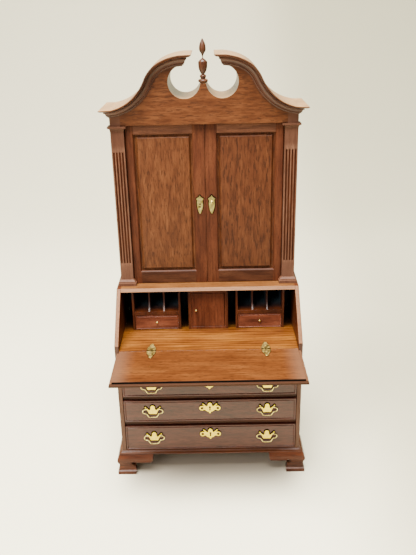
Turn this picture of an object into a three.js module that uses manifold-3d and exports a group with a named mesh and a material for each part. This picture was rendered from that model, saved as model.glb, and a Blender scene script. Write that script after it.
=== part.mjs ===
// Miniature slant-front secretary desk with a bookcase top, built to one inch to the foot.
// Lengths are millimetres. +X is the viewer's right, -Y the front and +Z up. Inside the cabinet
// group, X = 0 is the middle and Y = 0 the front of the drawers. Heights are measured from a level
// just above the surface it stands on, which is at Z = FLOOR.
import * as THREE from 'three';
import { mergeVertices } from 'three/addons/utils/BufferGeometryUtils.js';
import Module from 'manifold-3d';

const wasm = await Module();
wasm.setup();

// Driving dimensions ---------------------------------------------------------------------------

const SEAM = 0.02; // glue line between fixed pieces
const RUN = 0.2; // running clearance round drawers and doors
const FAR = 60; // cutting tools reach at least this far, past every face they cut through

const FLOOR = -0.9; // the surface that the feet stand on

const BACK = 50; // rear face of the whole case
const BACK_PANEL = 1.58; // thickness of both back panels

// Desk carcase
const DESK_HALF = 44.5;
const DESK_BOARD = 2;
const DESK_INSIDE = DESK_HALF - DESK_BOARD;
const BASE = { bottom: 10.4, top: 11.85, projection: 1.7 };
const DESK_TOP = { bottom: 90.4, top: 91.8 };
const WRITING = { bottom: 66.4, top: 68.4 };
const DRAWER_BAYS = [
  { name: 'lower', bottom: 12.1, top: 26.1, divider: [26.4, 28.4], keyhole: 9.1 },
  { name: 'middle', bottom: 28.65, top: 40.8, divider: [41.0, 43.0], keyhole: 7.7 },
  { name: 'upper', bottom: 43.2, top: 53.95, divider: [54.15, 56.15], keyhole: 7.0 },
];
const TOP_DRAWER = { name: 'top', bottom: 56.4, top: 66.15, half: 38.6 };
const DRAWER_DEPTH = 46;
const LOPER = { inner: 39.0, outer: 42.3, bottom: 56.45, top: 66.1, front: -10, length: 46 };

// Fall board, lying open
const LID_HINGE_Z = 69.0;
const LID = {
  bottom: 66.3, lipTop: 67.5, top: WRITING.top, rear: -0.1,
  fieldHalf: 42.35, fieldFront: -27.65, lipHalf: 43.6, lipFront: -28.95,
};
// The slanted edges of the sides lie 0.1 behind the lid's lips when the lid is shut.
const SLANT = LID_HINGE_Z + (LID_HINGE_Z - LID.lipTop - 0.1) * Math.SQRT2; // Z - Y on the slant
const LID_HINGE_X = 27.1;

// Bracket feet: the ogee face as [distance from the middle, height]
const FOOT_TOP = BASE.bottom - SEAM;
const FOOT_BOARD = 0.7; // how far a foot board reaches behind the case's faces
const FOOT_OGEE = [
  [47.25, FLOOR], [47.25, 0.9], [46.6, 1.4], [46.3, 2.6], [46.3, 4.2], [46.6, 5.2],
  [47.05, 6.0], [47.3, 7.0], [47.2, 8.1], [46.8, 9.1], [46.2, FOOT_TOP],
];

// Gallery of pigeonholes behind the fall board
const GALLERY = { front: 22.4, rear: 48.38, bottom: WRITING.top + SEAM, top: DESK_TOP.bottom - SEAM };
const PARTITION = 1.0;
const PARTITIONS_X = [9.35, 14.2, 37.2];
const DIVIDER = 0.8;
const DIVIDERS_X = [22.05, 29.4];
const GALLERY_SHELF = [76.5, 78.2];
const GALLERY_DRAWER = { inner: 14.9, outer: 36.5, bottom: 68.65, top: 76.25, depth: 23.8 };
const PROSPECT = { half: 8.2, bottom: 69.95, top: 87.6, thickness: 1.5, rounding: 0.5, pinRadius: 0.3 };

// Bookcase
const CASE_HALF = 42.5;
const CASE_BOARD = 2;
const CASE_BOTTOM = DESK_TOP.top + SEAM;
const FACE = 25; // front plane of pilasters and tympanum
const FRAME_REAR = 29.6; // rear face of the pilasters
const PILASTER = { inner: 36.4, bottom: CASE_BOTTOM, capitalTop: 169.4, friezeInner: 37.7, top: 175.5 };
const BASE_PROJECTION = 1.35;
const CAPITAL_PROJECTION = 1.15;
const FLUTES = { count: 4, pitch: 1.35, radius: 0.5, depth: 0.35, bottom: 103, top: 158 };
const CASE_CEILING = [169.72, 171.7];
const CASE_SHELF = [130, 131.6];
const SHELF_FRONT = 31.3;

const DOOR = {
  inner: 0.1, outer: 36.25, front: 27.0, rear: 29.4, bottom: 92.0, top: 169.5,
  innerStile: 5.58, outerStile: 3.9, topRail: 4.45, bottomRail: 6.4,
  rounding: 0.6, pivotX: 33.7, pinRadius: 0.42,
};

// Pediment
const BONNET_REAR = 49.8;
const SCROLL_TOP = [
  [[4.8, 200], [16.5, 199.9], [23, 196], [25.8, 189.8]],
  [[25.8, 189.8], [28.8, 183.2], [35, 176.6], [46.7, 176.6]],
];
const SCROLL_EYE = { x: 8.47, z: 188.1, radius: 7.2 };
const SCROLL_END_X = 9.2; // face that the crown moulding returns along beside the eye
const NECK_TOP = 187.3;
const BONNET_HOLLOW = [[39, 0], [39, 173.6], [30, 175.5], [24, 179]];
const CROWN_PROJECTION = 4.2;

// Hardware positions
const PULL_X = 28.1;
const DOOR_PLATE = { x: 2.8, z: 131.8 };

// Materials ------------------------------------------------------------------------------------

const finishes = {
  carcase: { color: 0x6f4433, roughness: 0.5, metalness: 0 },
  frame: { color: 0x7a4530, roughness: 0.48, metalness: 0 },
  panel: { color: 0x8f5836, roughness: 0.5, metalness: 0 },
  drawer: { color: 0x7d5b49, roughness: 0.55, metalness: 0 },
  writing: { color: 0xa4683c, roughness: 0.5, metalness: 0 },
  inner: { color: 0x5e3a2a, roughness: 0.7, metalness: 0 },
  brass: { color: 0xd9c27e, roughness: 0.35, metalness: 1 },
};

const cabinet = new THREE.Group();
cabinet.position.set(0, -(BACK + LID.lipFront) / 2, -FLOOR);

function addPart(parent, name, finish, geometry) {
  const mesh = new THREE.Mesh(geometry, new THREE.MeshStandardMaterial(finishes[finish]));
  mesh.name = name;
  parent.add(mesh);
  return mesh;
}

function addGroup(x, y, z) {
  const group = new THREE.Group();
  group.position.set(x, y, z);
  cabinet.add(group);
  return group;
}

// Shape helpers --------------------------------------------------------------------------------

const SIDES = [['left', -1], ['right', 1]];

function board([x0, x1], [y0, y1], [z0, z1]) {
  const geometry = new THREE.BoxGeometry(x1 - x0, y1 - y0, z1 - z0);
  return geometry.translate((x0 + x1) / 2, (y0 + y1) / 2, (z0 + z1) / 2);
}

// A range mirrored to the wanted side of the middle.
function onSide(side, inner, outer) {
  return side > 0 ? [inner, outer] : [-outer, -inner];
}

function outline(points) {
  return new THREE.Shape(points.map(([a, b]) => new THREE.Vector2(a, b)));
}

// An outline extruded along one axis: 'x' takes (y, z) points, 'y' takes (x, z), 'z' takes (x, y).
const X = new THREE.Vector3(1, 0, 0);
const Y = new THREE.Vector3(0, 1, 0);
const Z = new THREE.Vector3(0, 0, 1);
const BASES = {
  x: new THREE.Matrix4().makeBasis(Y, Z, X),
  y: new THREE.Matrix4().makeBasis(X, Z, Y.clone().negate()),
  z: new THREE.Matrix4(),
};

function prism(axis, shape, [low, high], curveSegments = 8) {
  const options = { depth: high - low, bevelEnabled: false, curveSegments };
  const geometry = new THREE.ExtrudeGeometry(shape, options);
  geometry.translate(0, 0, axis === 'y' ? -high : low);
  return geometry.applyMatrix4(BASES[axis]);
}

// A round bar along one axis, centred on the point.
function bar(axis, radius, [low, high], [a, b], segments = 12) {
  const circle = new THREE.Shape();
  circle.absarc(a, b, radius, 0, Math.PI * 2, false);
  return prism(axis, circle, [low, high], segments);
}

function solid(geometry) {
  const bare = geometry.clone();
  bare.deleteAttribute('normal');
  bare.deleteAttribute('uv');
  const merged = mergeVertices(bare, 1e-5);
  const mesh = new wasm.Mesh({
    numProp: 3,
    vertProperties: new Float32Array(merged.attributes.position.array),
    triVerts: new Uint32Array(merged.index.array),
  });
  return new wasm.Manifold(mesh);
}

function toGeometry(manifold) {
  const mesh = manifold.getMesh();
  const geometry = new THREE.BufferGeometry();
  geometry.setAttribute('position', new THREE.BufferAttribute(mesh.vertProperties, 3));
  geometry.setIndex(new THREE.BufferAttribute(mesh.triVerts, 1));
  geometry.computeVertexNormals();
  return geometry;
}

function join(...geometries) {
  return toGeometry(geometries.map(solid).reduce((whole, piece) => whole.add(piece)));
}

function cut(geometry, ...tools) {
  return toGeometry(tools.map(solid).reduce((whole, tool) => whole.subtract(tool), solid(geometry)));
}

function common(...geometries) {
  return toGeometry(geometries.map(solid).reduce((whole, piece) => whole.intersect(piece)));
}

// Skin through closed rings with equal numbers of points. capPoints are the ring in the plane
// that its two flat ends are triangulated in.
function loft(rings, capPoints) {
  const count = rings[0].length;
  const last = (rings.length - 1) * count;
  const index = [];
  for (let ring = 0; ring < last; ring += count) {
    for (let i = 0; i < count; i++) {
      const j = (i + 1) % count;
      index.push(ring + i, ring + j, ring + count + j);
      index.push(ring + i, ring + count + j, ring + count + i);
    }
  }
  const flat = capPoints.map(([a, b]) => new THREE.Vector2(a, b));
  for (const triangle of THREE.ShapeUtils.triangulateShape(flat, [])) {
    const sameTurn = THREE.ShapeUtils.area(triangle.map((i) => flat[i])) * THREE.ShapeUtils.area(flat) > 0;
    const [a, b, c] = sameTurn ? triangle : triangle.slice().reverse();
    index.push(a, c, b, last + a, last + b, last + c);
  }
  const points = rings.flat().map(([x, y, z]) => new THREE.Vector3(x, y, z));
  let volume = 0;
  for (let i = 0; i < index.length; i += 3) {
    const [a, b, c] = [points[index[i]], points[index[i + 1]], points[index[i + 2]]];
    volume += a.dot(b.clone().cross(c));
  }
  const geometry = new THREE.BufferGeometry().setFromPoints(points);
  geometry.setIndex(volume > 0 ? index : index.reverse());
  geometry.computeVertexNormals();
  return geometry;
}

// A slab whose front and both ends are moulded and whose back is flat. levels are [z, projection]
// pairs; the projection is added to the half width and taken from the front.
function mouldedSlab(half, front, rear, levels) {
  const ring = (z, p) => [
    [-half - p, rear, z], [-half - p, front - p, z], [half + p, front - p, z], [half + p, rear, z],
  ];
  const rings = levels.map(([z, p]) => ring(z, p));
  return loft(rings, rings[0].map(([x, y]) => [x, y]));
}

// A flat piece facing -Y built from nested rectangles. levels are [y, inset] pairs.
function facedPanel([x0, x1], [z0, z1], levels) {
  const ring = (y, inset) => [
    [x0 + inset, y, z0 + inset], [x1 - inset, y, z0 + inset],
    [x1 - inset, y, z1 - inset], [x0 + inset, y, z1 - inset],
  ];
  const rings = levels.map(([y, inset]) => ring(y, inset));
  return loft(rings, rings[0].map(([x, , z]) => [x, z]));
}

// A turned piece. Its profile of [radius, height] points rises along +Z, or along -Y if tipped.
function turned(profile, segments, tipped = false) {
  const points = profile.map(([radius, height]) => new THREE.Vector2(radius, height));
  return new THREE.LatheGeometry(points, segments).rotateX(tipped ? Math.PI : Math.PI / 2);
}

// Desk carcase ---------------------------------------------------------------------------------

const BASE_LEVELS = [
  [BASE.bottom, 1.0], [BASE.bottom + 0.6, 1.0], [BASE.bottom + 0.8, 0.55],
  [BASE.bottom + 1.05, 0.25], [BASE.top - 0.15, 0.15], [BASE.top, 0.05],
].map(([z, part]) => [z, part * BASE.projection]);
addPart(cabinet, 'base_board', 'carcase', mouldedSlab(DESK_HALF, 0, BACK, BASE_LEVELS));

const SIDE_BOTTOM = BASE.top + SEAM;
const SIDE_OUTLINE = outline([
  [0, SIDE_BOTTOM], [0, SLANT], [DESK_TOP.top - SLANT, DESK_TOP.top],
  [BACK, DESK_TOP.top], [BACK, SIDE_BOTTOM],
]);
for (const [name, side] of SIDES) {
  const span = onSide(side, DESK_INSIDE, DESK_HALF);
  addPart(cabinet, `desk_side_${name}`, 'carcase', prism('x', SIDE_OUTLINE, span));
}

const BETWEEN = [-DESK_INSIDE + SEAM, DESK_INSIDE - SEAM];
const PANEL_FRONT = BACK - BACK_PANEL;
addPart(cabinet, 'desk_back', 'carcase',
  board(BETWEEN, [PANEL_FRONT, BACK], [SIDE_BOTTOM, DESK_TOP.top]));

const DESK_TOP_OUTLINE = outline([
  [DESK_TOP.top - SLANT, DESK_TOP.top], [DESK_TOP.bottom - SLANT, DESK_TOP.bottom],
  [PANEL_FRONT - SEAM, DESK_TOP.bottom], [PANEL_FRONT - SEAM, DESK_TOP.top],
]);
const DOOR_BORE = DOOR.pinRadius + 0.08;
const PIN_SOCKET = 1.15; // how far the bores for the door pins reach beyond the doors
const DOOR_AXIS_Y = (DOOR.front + DOOR.rear) / 2;
const deskTopBores = SIDES.map(([, side]) => (
  bar('z', DOOR_BORE, [DOOR.bottom - PIN_SOCKET, FAR + DESK_TOP.top], [side * DOOR.pivotX, DOOR_AXIS_Y])
));
addPart(cabinet, 'desk_top', 'carcase', cut(prism('x', DESK_TOP_OUTLINE, BETWEEN), ...deskTopBores));

addPart(cabinet, 'writing_board', 'writing',
  board(BETWEEN, [0, PANEL_FRONT - SEAM], [WRITING.bottom, WRITING.top]));

for (const bay of DRAWER_BAYS) {
  addPart(cabinet, `divider_above_${bay.name}`, 'carcase',
    board(BETWEEN, [0, PANEL_FRONT - SEAM], bay.divider));
}

// Feet -----------------------------------------------------------------------------------------

const NOTCH = { x: 39.1, z: 5.1, radius: 1.45 };

// The cut-out face of a bracket, for a bracket running inward from the corner along u.
function bracketOutline(toU) {
  const start = (-110 * Math.PI) / 180;
  const end = (150 * Math.PI) / 180;
  const steps = 9;
  const points = [[FAR, FLOOR], [38.1, FLOOR], [37.9, 1.5]];
  for (let i = 0; i <= steps; i++) {
    const angle = start + ((end - start) * i) / steps;
    points.push([NOTCH.x + NOTCH.radius * Math.cos(angle), NOTCH.z + NOTCH.radius * Math.sin(angle)]);
  }
  points.push([37.0, 6.15], [34, 5.8], [30.2, 6.05], [29.6, 7.2], [29.0, FOOT_TOP], [FAR, FOOT_TOP]);
  return outline(points.map(([u, z]) => [toU(u), z]));
}

const sideOgee = outline([...FOOT_OGEE, [0, FOOT_TOP], [0, FLOOR]]);
const frontOgee = outline([
  ...FOOT_OGEE.map(([u, z]) => [DESK_HALF - u, z]), [FAR, FOOT_TOP], [FAR, FLOOR],
]);

function frontFoot() {
  const front = prism('y', bracketOutline((u) => u), [-FAR, FOOT_BOARD]);
  const side = prism('x', bracketOutline((u) => DESK_HALF - u), [DESK_HALF - FOOT_BOARD, FAR]);
  return common(join(front, side), prism('y', sideOgee, [-FAR, FAR]), prism('x', frontOgee, [0, FAR]));
}

function rearFoot() {
  const rearmost = BACK - 0.3;
  const fromBack = (u) => rearmost - (FOOT_OGEE[0][0] - u);
  const side = prism('x', bracketOutline(fromBack), [DESK_HALF - FOOT_BOARD, FAR]);
  const backOutline = outline([[FAR, FLOOR], [42.5, FLOOR], [36, 8], [36, FOOT_TOP], [FAR, FOOT_TOP]]);
  const back = prism('y', backOutline, [rearmost - 3, rearmost]);
  return common(join(side, back), prism('y', sideOgee, [0, rearmost]));
}

function mirrorX(geometry) {
  const flipped = mergeVertices(geometry.clone());
  flipped.scale(-1, 1, 1);
  flipped.setIndex(Array.from(flipped.index.array).reverse());
  flipped.computeVertexNormals();
  return flipped;
}

for (const [name, side] of SIDES) {
  const place = (geometry) => (side > 0 ? geometry : mirrorX(geometry));
  addPart(cabinet, `foot_front_${name}`, 'carcase', place(frontFoot()));
  addPart(cabinet, `foot_rear_${name}`, 'carcase', place(rearFoot()));
}

// Drawers, with a scratched bead round the front -------------------------------------------------

const BEAD_LEVELS = [
  [2.2, 0], [0.12, 0], [0, 0.12], [0, 0.62], [0.28, 0.8], [0.28, 1.0], [0.05, 1.15],
];

// A drawer made of a faced front and a plain open box behind it.
function drawer(half, height, { levels, depth, wall, floor, lowered }) {
  const [thickness] = levels[0];
  const front = facedPanel([-half, half], [0, height], levels);
  const inset = 0.1;
  const box = board([-half + inset, half - inset], [thickness / 2, depth], [inset, height - lowered]);
  const hollow = board([-half + wall, half - wall], [thickness, depth - wall], [floor, height + 1]);
  return join(front, cut(box, hollow));
}

const LARGE_DRAWER = { levels: BEAD_LEVELS, depth: DRAWER_DEPTH, wall: 1.5, floor: 1.1, lowered: 0.6 };

// Cast pull: a crown-shaped plate with a bail that curls out from under its two horns.
const PULL_PLATE = [
  [0, 3.7], [0.6, 3.5], [0.98, 2.9], [1.1, 2.2], [1.1, 1.7], [1.4, 1.25], [1.8, 1.2], [3.55, 3.2],
  [3.95, 2.75], [2.5, 0.6], [1.95, -0.5], [1.65, -1.15],
];
const PULL_BAIL = [
  [3.15, -0.2, 1.85], [3.6, -0.3, 1.55], [4.3, -0.4, 1.4], [4.95, -0.5, 0.9], [5.05, -0.6, 0.15],
  [4.65, -0.7, -0.5], [3.95, -0.8, -0.75], [3.3, -0.9, -0.8], [2.75, -1.0, -1.25],
  [2.2, -1.05, -2.05], [1.3, -1.1, -2.5], [0.5, -1.1, -2.62],
];

function bothSides(points) {
  const left = points.slice().reverse().map(([x, ...rest]) => [-x, ...rest]);
  return [...points, ...left.filter(([x]) => x !== 0)];
}

function pull() {
  const plate = prism('y', outline(bothSides(PULL_PLATE)), [-0.35, 0.03]);
  const route = bothSides(PULL_BAIL).map(([x, y, z]) => new THREE.Vector3(x, y, z));
  const path = new THREE.CatmullRomCurve3(route);
  const wire = new THREE.Shape();
  wire.absarc(0, 0, 0.3, 0, Math.PI * 2, false);
  const options = { steps: 44, extrudePath: path, curveSegments: 3, bevelEnabled: false };
  return join(plate, new THREE.ExtrudeGeometry(wire, options));
}

// Pierced escutcheon with two horns, two ring lobes and a keyhole.
const ESCUTCHEON_TOP = [
  [0, 3.1], [0.65, 2.85], [1.05, 2.2], [1.15, 1.4], [1.5, 1.05], [2.0, 1.0], [3.55, 2.35], [4.0, 2.0],
];
const ESCUTCHEON_FOOT = [[2.7, -1.0], [2.3, -1.1], [1.6, -1.75], [0.95, -2.05], [0.5, -2.3], [0.4, -2.8]];
const LOBE = { x: 3.85, z: 0, radius: 1.35, hole: 0.42 };

function ringPoints(x, z, radius, from, to, steps) {
  const points = [];
  for (let i = 0; i <= steps; i++) {
    const angle = ((from + ((to - from) * i) / steps) * Math.PI) / 180;
    points.push([x + radius * Math.cos(angle), z + radius * Math.sin(angle)]);
  }
  return points;
}

function escutcheon() {
  const lobe = ringPoints(LOBE.x, LOBE.z, LOBE.radius, 80, -120, 9);
  const half = [...ESCUTCHEON_TOP, ...lobe, ...ESCUTCHEON_FOOT, [0, -3.0]];
  const plate = prism('y', outline(bothSides(half)), [-0.35, 0.03]);
  const holes = SIDES.map(([, side]) => bar('y', LOBE.hole, [-1, 1], [side * LOBE.x, LOBE.z], 3));
  const eye = bar('y', 0.36, [-1, 1], [0, 0.3], 3);
  const slot = board([-0.18, 0.18], [-1, 1], [-0.8, 0.3]);
  return cut(plate, ...holes, eye, slot);
}

const FULL_DRAWER_HALF = DESK_INSIDE - RUN;
for (const bay of [...DRAWER_BAYS, TOP_DRAWER]) {
  const half = bay.half ?? FULL_DRAWER_HALF;
  const height = bay.top - bay.bottom;
  const group = addGroup(0, 0, bay.bottom);
  addPart(group, `drawer_${bay.name}`, 'drawer', drawer(half, height, LARGE_DRAWER));
  for (const [name, side] of SIDES) {
    const handle = addPart(group, `pull_${bay.name}_${name}`, 'brass', pull());
    handle.position.set(side * PULL_X, 0, height / 2);
  }
  if (bay !== TOP_DRAWER) {
    const plate = addPart(group, `escutcheon_${bay.name}`, 'brass', escutcheon());
    plate.position.z = bay.keyhole;
  }
}

for (const [name, side] of SIDES) {
  addPart(cabinet, `loper_${name}`, 'carcase',
    board(onSide(side, LOPER.inner, LOPER.outer), [LOPER.front, LOPER.front + LOPER.length],
      [LOPER.bottom, LOPER.top]));
}

// Fall board and its hinges ----------------------------------------------------------------------

const LIP = LID.lipHalf - LID.fieldHalf;
const FRONT_LIP = LID.fieldFront - LID.lipFront;

function fallBoard() {
  const ring = (z, sideLip, frontLip) => [
    [-LID.fieldHalf - sideLip, LID.rear, z], [-LID.fieldHalf - sideLip, LID.fieldFront - frontLip, z],
    [LID.fieldHalf + sideLip, LID.fieldFront - frontLip, z], [LID.fieldHalf + sideLip, LID.rear, z],
  ];
  const rings = [
    ring(LID.bottom, LIP - 0.2, FRONT_LIP - 0.2), ring(LID.bottom + 0.2, LIP, FRONT_LIP),
    ring(LID.lipTop - 0.2, LIP, FRONT_LIP), ring(LID.lipTop - 0.05, LIP - 0.15, FRONT_LIP - 0.15),
    ring(LID.lipTop, 0, 0), ring(LID.top - 0.1, 0, 0), ring(LID.top, -0.1, -0.1),
  ];
  return loft(rings, rings[0].map(([x, y]) => [x, y]));
}

const lidGroup = addGroup(0, 0, LID_HINGE_Z);
const lidMesh = addPart(lidGroup, 'fall_board', 'writing', fallBoard());
lidMesh.position.z = -LID_HINGE_Z;

const KNUCKLE = { radius: 0.4, half: 0.7, gap: 0.05, pin: 0.18, bore: 0.26 };
const LEAF = { half: 2.05, bottom: SEAM - (LID_HINGE_Z - LID.top), thickness: 0.33 };
const LEAF_TIP = [
  [LEAF.half, 2.2], [1.85, 3.2], [1.3, 4.3], [0.75, 5.0], [0.6, 5.5], [0.85, 6.0], [0.6, 6.6], [0, 6.9],
];

// Leaf outline pointing along +Y, with its knuckle end cut for the other leaf's knuckles.
function leafPlate(direction, rootHalfInside) {
  const clear = KNUCKLE.radius + 0.15;
  const split = KNUCKLE.half + (rootHalfInside ? -KNUCKLE.gap : KNUCKLE.gap);
  const [middle, outer] = rootHalfInside ? [0.05, clear] : [clear, 0.05];
  const half = [[0, middle], [split, middle], [split, outer], [LEAF.half, outer], ...LEAF_TIP];
  const points = bothSides(half).filter(([x, y]) => !(x === 0 && y === middle));
  const plate = outline(points.map(([x, y]) => [x, direction * y]));
  return prism('z', plate, [LEAF.bottom, LEAF.bottom + LEAF.thickness]);
}

function knuckle(from, to) {
  return bar('x', KNUCKLE.radius, [from, to], [0, 0], 6);
}

function fixedLeaf() {
  const inner = KNUCKLE.half + KNUCKLE.gap;
  const pin = bar('x', KNUCKLE.pin, [-LEAF.half, LEAF.half], [0, 0], 4);
  return join(leafPlate(1, false), knuckle(inner, LEAF.half), knuckle(-LEAF.half, -inner), pin);
}

function movingLeaf() {
  const inner = KNUCKLE.half - KNUCKLE.gap;
  const bore = bar('x', KNUCKLE.bore, [-1, 1], [0, 0], 6);
  return cut(join(leafPlate(-1, true), knuckle(-inner, inner)), bore);
}

for (const [name, side] of SIDES) {
  const fixed = addPart(cabinet, `hinge_leaf_fixed_${name}`, 'brass', fixedLeaf());
  fixed.position.set(side * LID_HINGE_X, 0, LID_HINGE_Z);
  const moving = addPart(lidGroup, `hinge_leaf_moving_${name}`, 'brass', movingLeaf());
  moving.position.x = side * LID_HINGE_X;
}

// Gallery ----------------------------------------------------------------------------------------

const GALLERY_DEPTH = [GALLERY.front, GALLERY.rear];
const GALLERY_HEIGHT = [GALLERY.bottom, GALLERY.top];
const GALLERY_BACK = 1;

// Pigeonhole divider with a scooped front edge, standing on the shelf.
function scoopedDivider(x) {
  const shelfTop = GALLERY_SHELF[1] - 0.3;
  const edge = new THREE.Shape();
  edge.moveTo(GALLERY.front + 0.2, shelfTop);
  edge.quadraticCurveTo(GALLERY.front + 6.5, 83, GALLERY.front + 1.6, GALLERY.top);
  edge.lineTo(GALLERY.rear - 0.3, GALLERY.top);
  edge.lineTo(GALLERY.rear - 0.3, shelfTop);
  return prism('x', edge, [x - DIVIDER / 2, x + DIVIDER / 2], 6);
}

function gallery(side) {
  const back = board(onSide(side, PARTITIONS_X[0] - PARTITION / 2, DESK_INSIDE - SEAM),
    [GALLERY.rear - GALLERY_BACK, GALLERY.rear], GALLERY_HEIGHT);
  const partitions = PARTITIONS_X.map((x) => (
    board(onSide(side, x - PARTITION / 2, x + PARTITION / 2), GALLERY_DEPTH, GALLERY_HEIGHT)
  ));
  const shelf = board(onSide(side, PARTITIONS_X[1], PARTITIONS_X[2]), GALLERY_DEPTH, GALLERY_SHELF);
  const dividers = DIVIDERS_X.map((x) => scoopedDivider(side * x));
  return join(back, ...partitions, shelf, ...dividers);
}

const SMALL_BEAD = [[1.4, 0], [0.08, 0], [0, 0.08], [0, 0.4], [0.18, 0.52], [0.18, 0.66], [0.04, 0.78]];

const SMALL_DRAWER = {
  levels: SMALL_BEAD, depth: GALLERY_DRAWER.depth, wall: 1, floor: 0.8, lowered: 0.5,
};
const SMALL_HALF = (GALLERY_DRAWER.outer - GALLERY_DRAWER.inner) / 2;
const SMALL_HEIGHT = GALLERY_DRAWER.top - GALLERY_DRAWER.bottom;

for (const [name, side] of SIDES) {
  addPart(cabinet, `gallery_${name}`, 'inner', gallery(side));
  const mesh = addPart(cabinet, `gallery_drawer_${name}`, 'frame',
    drawer(SMALL_HALF, SMALL_HEIGHT, SMALL_DRAWER));
  const middle = (GALLERY_DRAWER.inner + GALLERY_DRAWER.outer) / 2;
  mesh.position.set(side * middle, GALLERY.front, GALLERY_DRAWER.bottom);
}

// Prospect door between the two galleries, turning on pins in its frame.
const PROSPECT_AXIS = {
  x: PROSPECT.half - PROSPECT.thickness / 2,
  y: GALLERY.front + PROSPECT.thickness / 2,
};

// Plan of a door lying between x = from and a hinge edge with rounded corners at x = to.
function doorPlan(from, to, front, rear, radius) {
  const frontCorner = ringPoints(to - radius, front + radius, radius, -90, 0, 5);
  const rearCorner = ringPoints(to - radius, rear - radius, radius, 0, 90, 5);
  return [[from, rear], [from, front], ...frontCorner, ...rearCorner];
}

function prospectFrame() {
  const outer = PARTITIONS_X[0] - PARTITION / 2 - SEAM;
  const opening = PROSPECT.half + 0.15;
  const block = board([-outer, outer], [GALLERY.front, GALLERY.front + 2.5], GALLERY_HEIGHT);
  const doorway = board([-opening, opening], [0, 40], [PROSPECT.bottom - 0.25, PROSPECT.top + 0.25]);
  const bore = bar('z', PROSPECT.pinRadius + 0.07, [PROSPECT.bottom - 1, PROSPECT.top + 1],
    [PROSPECT_AXIS.x, PROSPECT_AXIS.y], 3);
  return cut(block, doorway, bore);
}

function prospectDoor() {
  const rear = GALLERY.front + PROSPECT.thickness;
  const plan = doorPlan(-PROSPECT.half, PROSPECT.half, GALLERY.front, rear, PROSPECT.rounding);
  const leaf = prism('z', outline(plan), [PROSPECT.bottom, PROSPECT.top]);
  const pin = bar('z', PROSPECT.pinRadius, [PROSPECT.bottom - 0.8, PROSPECT.top + 0.8],
    [PROSPECT_AXIS.x, PROSPECT_AXIS.y], 3);
  return join(leaf, pin);
}

addPart(cabinet, 'prospect_frame', 'frame', prospectFrame());
addPart(cabinet, 'prospect_door', 'frame', prospectDoor());
const prospectKnob = addPart(cabinet, 'prospect_knob', 'brass',
  turned([[0, 0], [0.3, 0], [0.3, 0.3], [0.55, 0.55], [0.5, 0.85], [0, 1]], 10, true));
prospectKnob.position.set(-6, GALLERY.front - SEAM, (PROSPECT.bottom + PROSPECT.top) / 2);

// Bookcase carcase -------------------------------------------------------------------------------

const CASE_INSIDE = CASE_HALF - CASE_BOARD;
const CASE_SPAN = [-CASE_INSIDE + SEAM, CASE_INSIDE - SEAM];
const CASE_HEIGHT = [CASE_BOTTOM, CASE_CEILING[1]];
for (const [name, side] of SIDES) {
  addPart(cabinet, `bookcase_side_${name}`, 'carcase',
    board(onSide(side, CASE_INSIDE, CASE_HALF), [FRAME_REAR + SEAM, BACK], CASE_HEIGHT));
}
addPart(cabinet, 'bookcase_back', 'carcase', board(CASE_SPAN, [PANEL_FRONT, BACK], CASE_HEIGHT));
addPart(cabinet, 'bookcase_ceiling', 'carcase',
  board(CASE_SPAN, [FRAME_REAR + 2 * SEAM, PANEL_FRONT - SEAM], CASE_CEILING));
addPart(cabinet, 'bookcase_shelf', 'inner',
  board(CASE_SPAN, [SHELF_FRONT, PANEL_FRONT - SEAM], CASE_SHELF));

// Fluted pilasters -------------------------------------------------------------------------------

// Moulding round the front and both ends of a pilaster. Its inner return stops short of the door.
function pilasterCollar(levels) {
  const stop = DOOR.front - RUN;
  const ring = (z, p) => [
    [PILASTER.inner, FRAME_REAR, z], [PILASTER.inner, stop, z], [PILASTER.inner - p, stop, z],
    [PILASTER.inner - p, FACE - p, z], [CASE_HALF + p, FACE - p, z], [CASE_HALF + p, FRAME_REAR, z],
  ];
  const rings = levels.map(([z, p]) => ring(z, p));
  return loft(rings, ring(0, 1).map(([x, y]) => [x, y]));
}

const PILASTER_BASE = [
  [0, 1], [1.5, 1], [1.6, 0.72], [2.2, 0.66], [2.5, 0.45], [2.9, 0.12], [3.15, 0.06],
].map(([z, part]) => [PILASTER.bottom + z, part * BASE_PROJECTION]);
const PILASTER_CAPITAL = [
  [-2.7, 0.03], [-1.9, 0.06], [-1.2, 0.25], [-0.85, 0.6], [-0.75, 1], [0, 1],
].map(([z, part]) => [PILASTER.capitalTop + z, part * CAPITAL_PROJECTION]);

function flute(x) {
  const { radius, depth, bottom, top } = FLUTES;
  const capsule = new THREE.CapsuleGeometry(radius, top - bottom - 2 * radius, 2, 8);
  capsule.rotateX(Math.PI / 2);
  return capsule.translate(x, FACE - radius + depth, (bottom + top) / 2);
}

function pilaster() {
  const block = board([PILASTER.inner, CASE_HALF], [FACE, FRAME_REAR],
    [PILASTER.bottom, PILASTER.capitalTop]);
  const frieze = board([PILASTER.friezeInner, CASE_HALF], [FACE, FRAME_REAR],
    [PILASTER.capitalTop - 1, PILASTER.top]);
  const middle = (PILASTER.inner + CASE_HALF) / 2;
  const flutes = [];
  for (let i = 0; i < FLUTES.count; i++) {
    flutes.push(flute(middle + (i - (FLUTES.count - 1) / 2) * FLUTES.pitch));
  }
  const collars = [pilasterCollar(PILASTER_BASE), pilasterCollar(PILASTER_CAPITAL)];
  return join(cut(block, ...flutes), frieze, ...collars);
}

const rightPilaster = pilaster();
addPart(cabinet, 'pilaster_left', 'frame', mirrorX(rightPilaster));
addPart(cabinet, 'pilaster_right', 'frame', rightPilaster);

// Panelled doors on wooden pins --------------------------------------------------------------------

const DOORWAY = {
  x: [DOOR.inner + DOOR.innerStile, DOOR.outer - DOOR.outerStile],
  z: [DOOR.bottom + DOOR.bottomRail, DOOR.top - DOOR.topRail],
};
const PANEL_LEVELS = [
  [29.0, SEAM], [28.3, SEAM], [28.1, 0.6], [27.72, 2.5], [27.5, 2.6], [27.5, 2.9],
];

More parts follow.
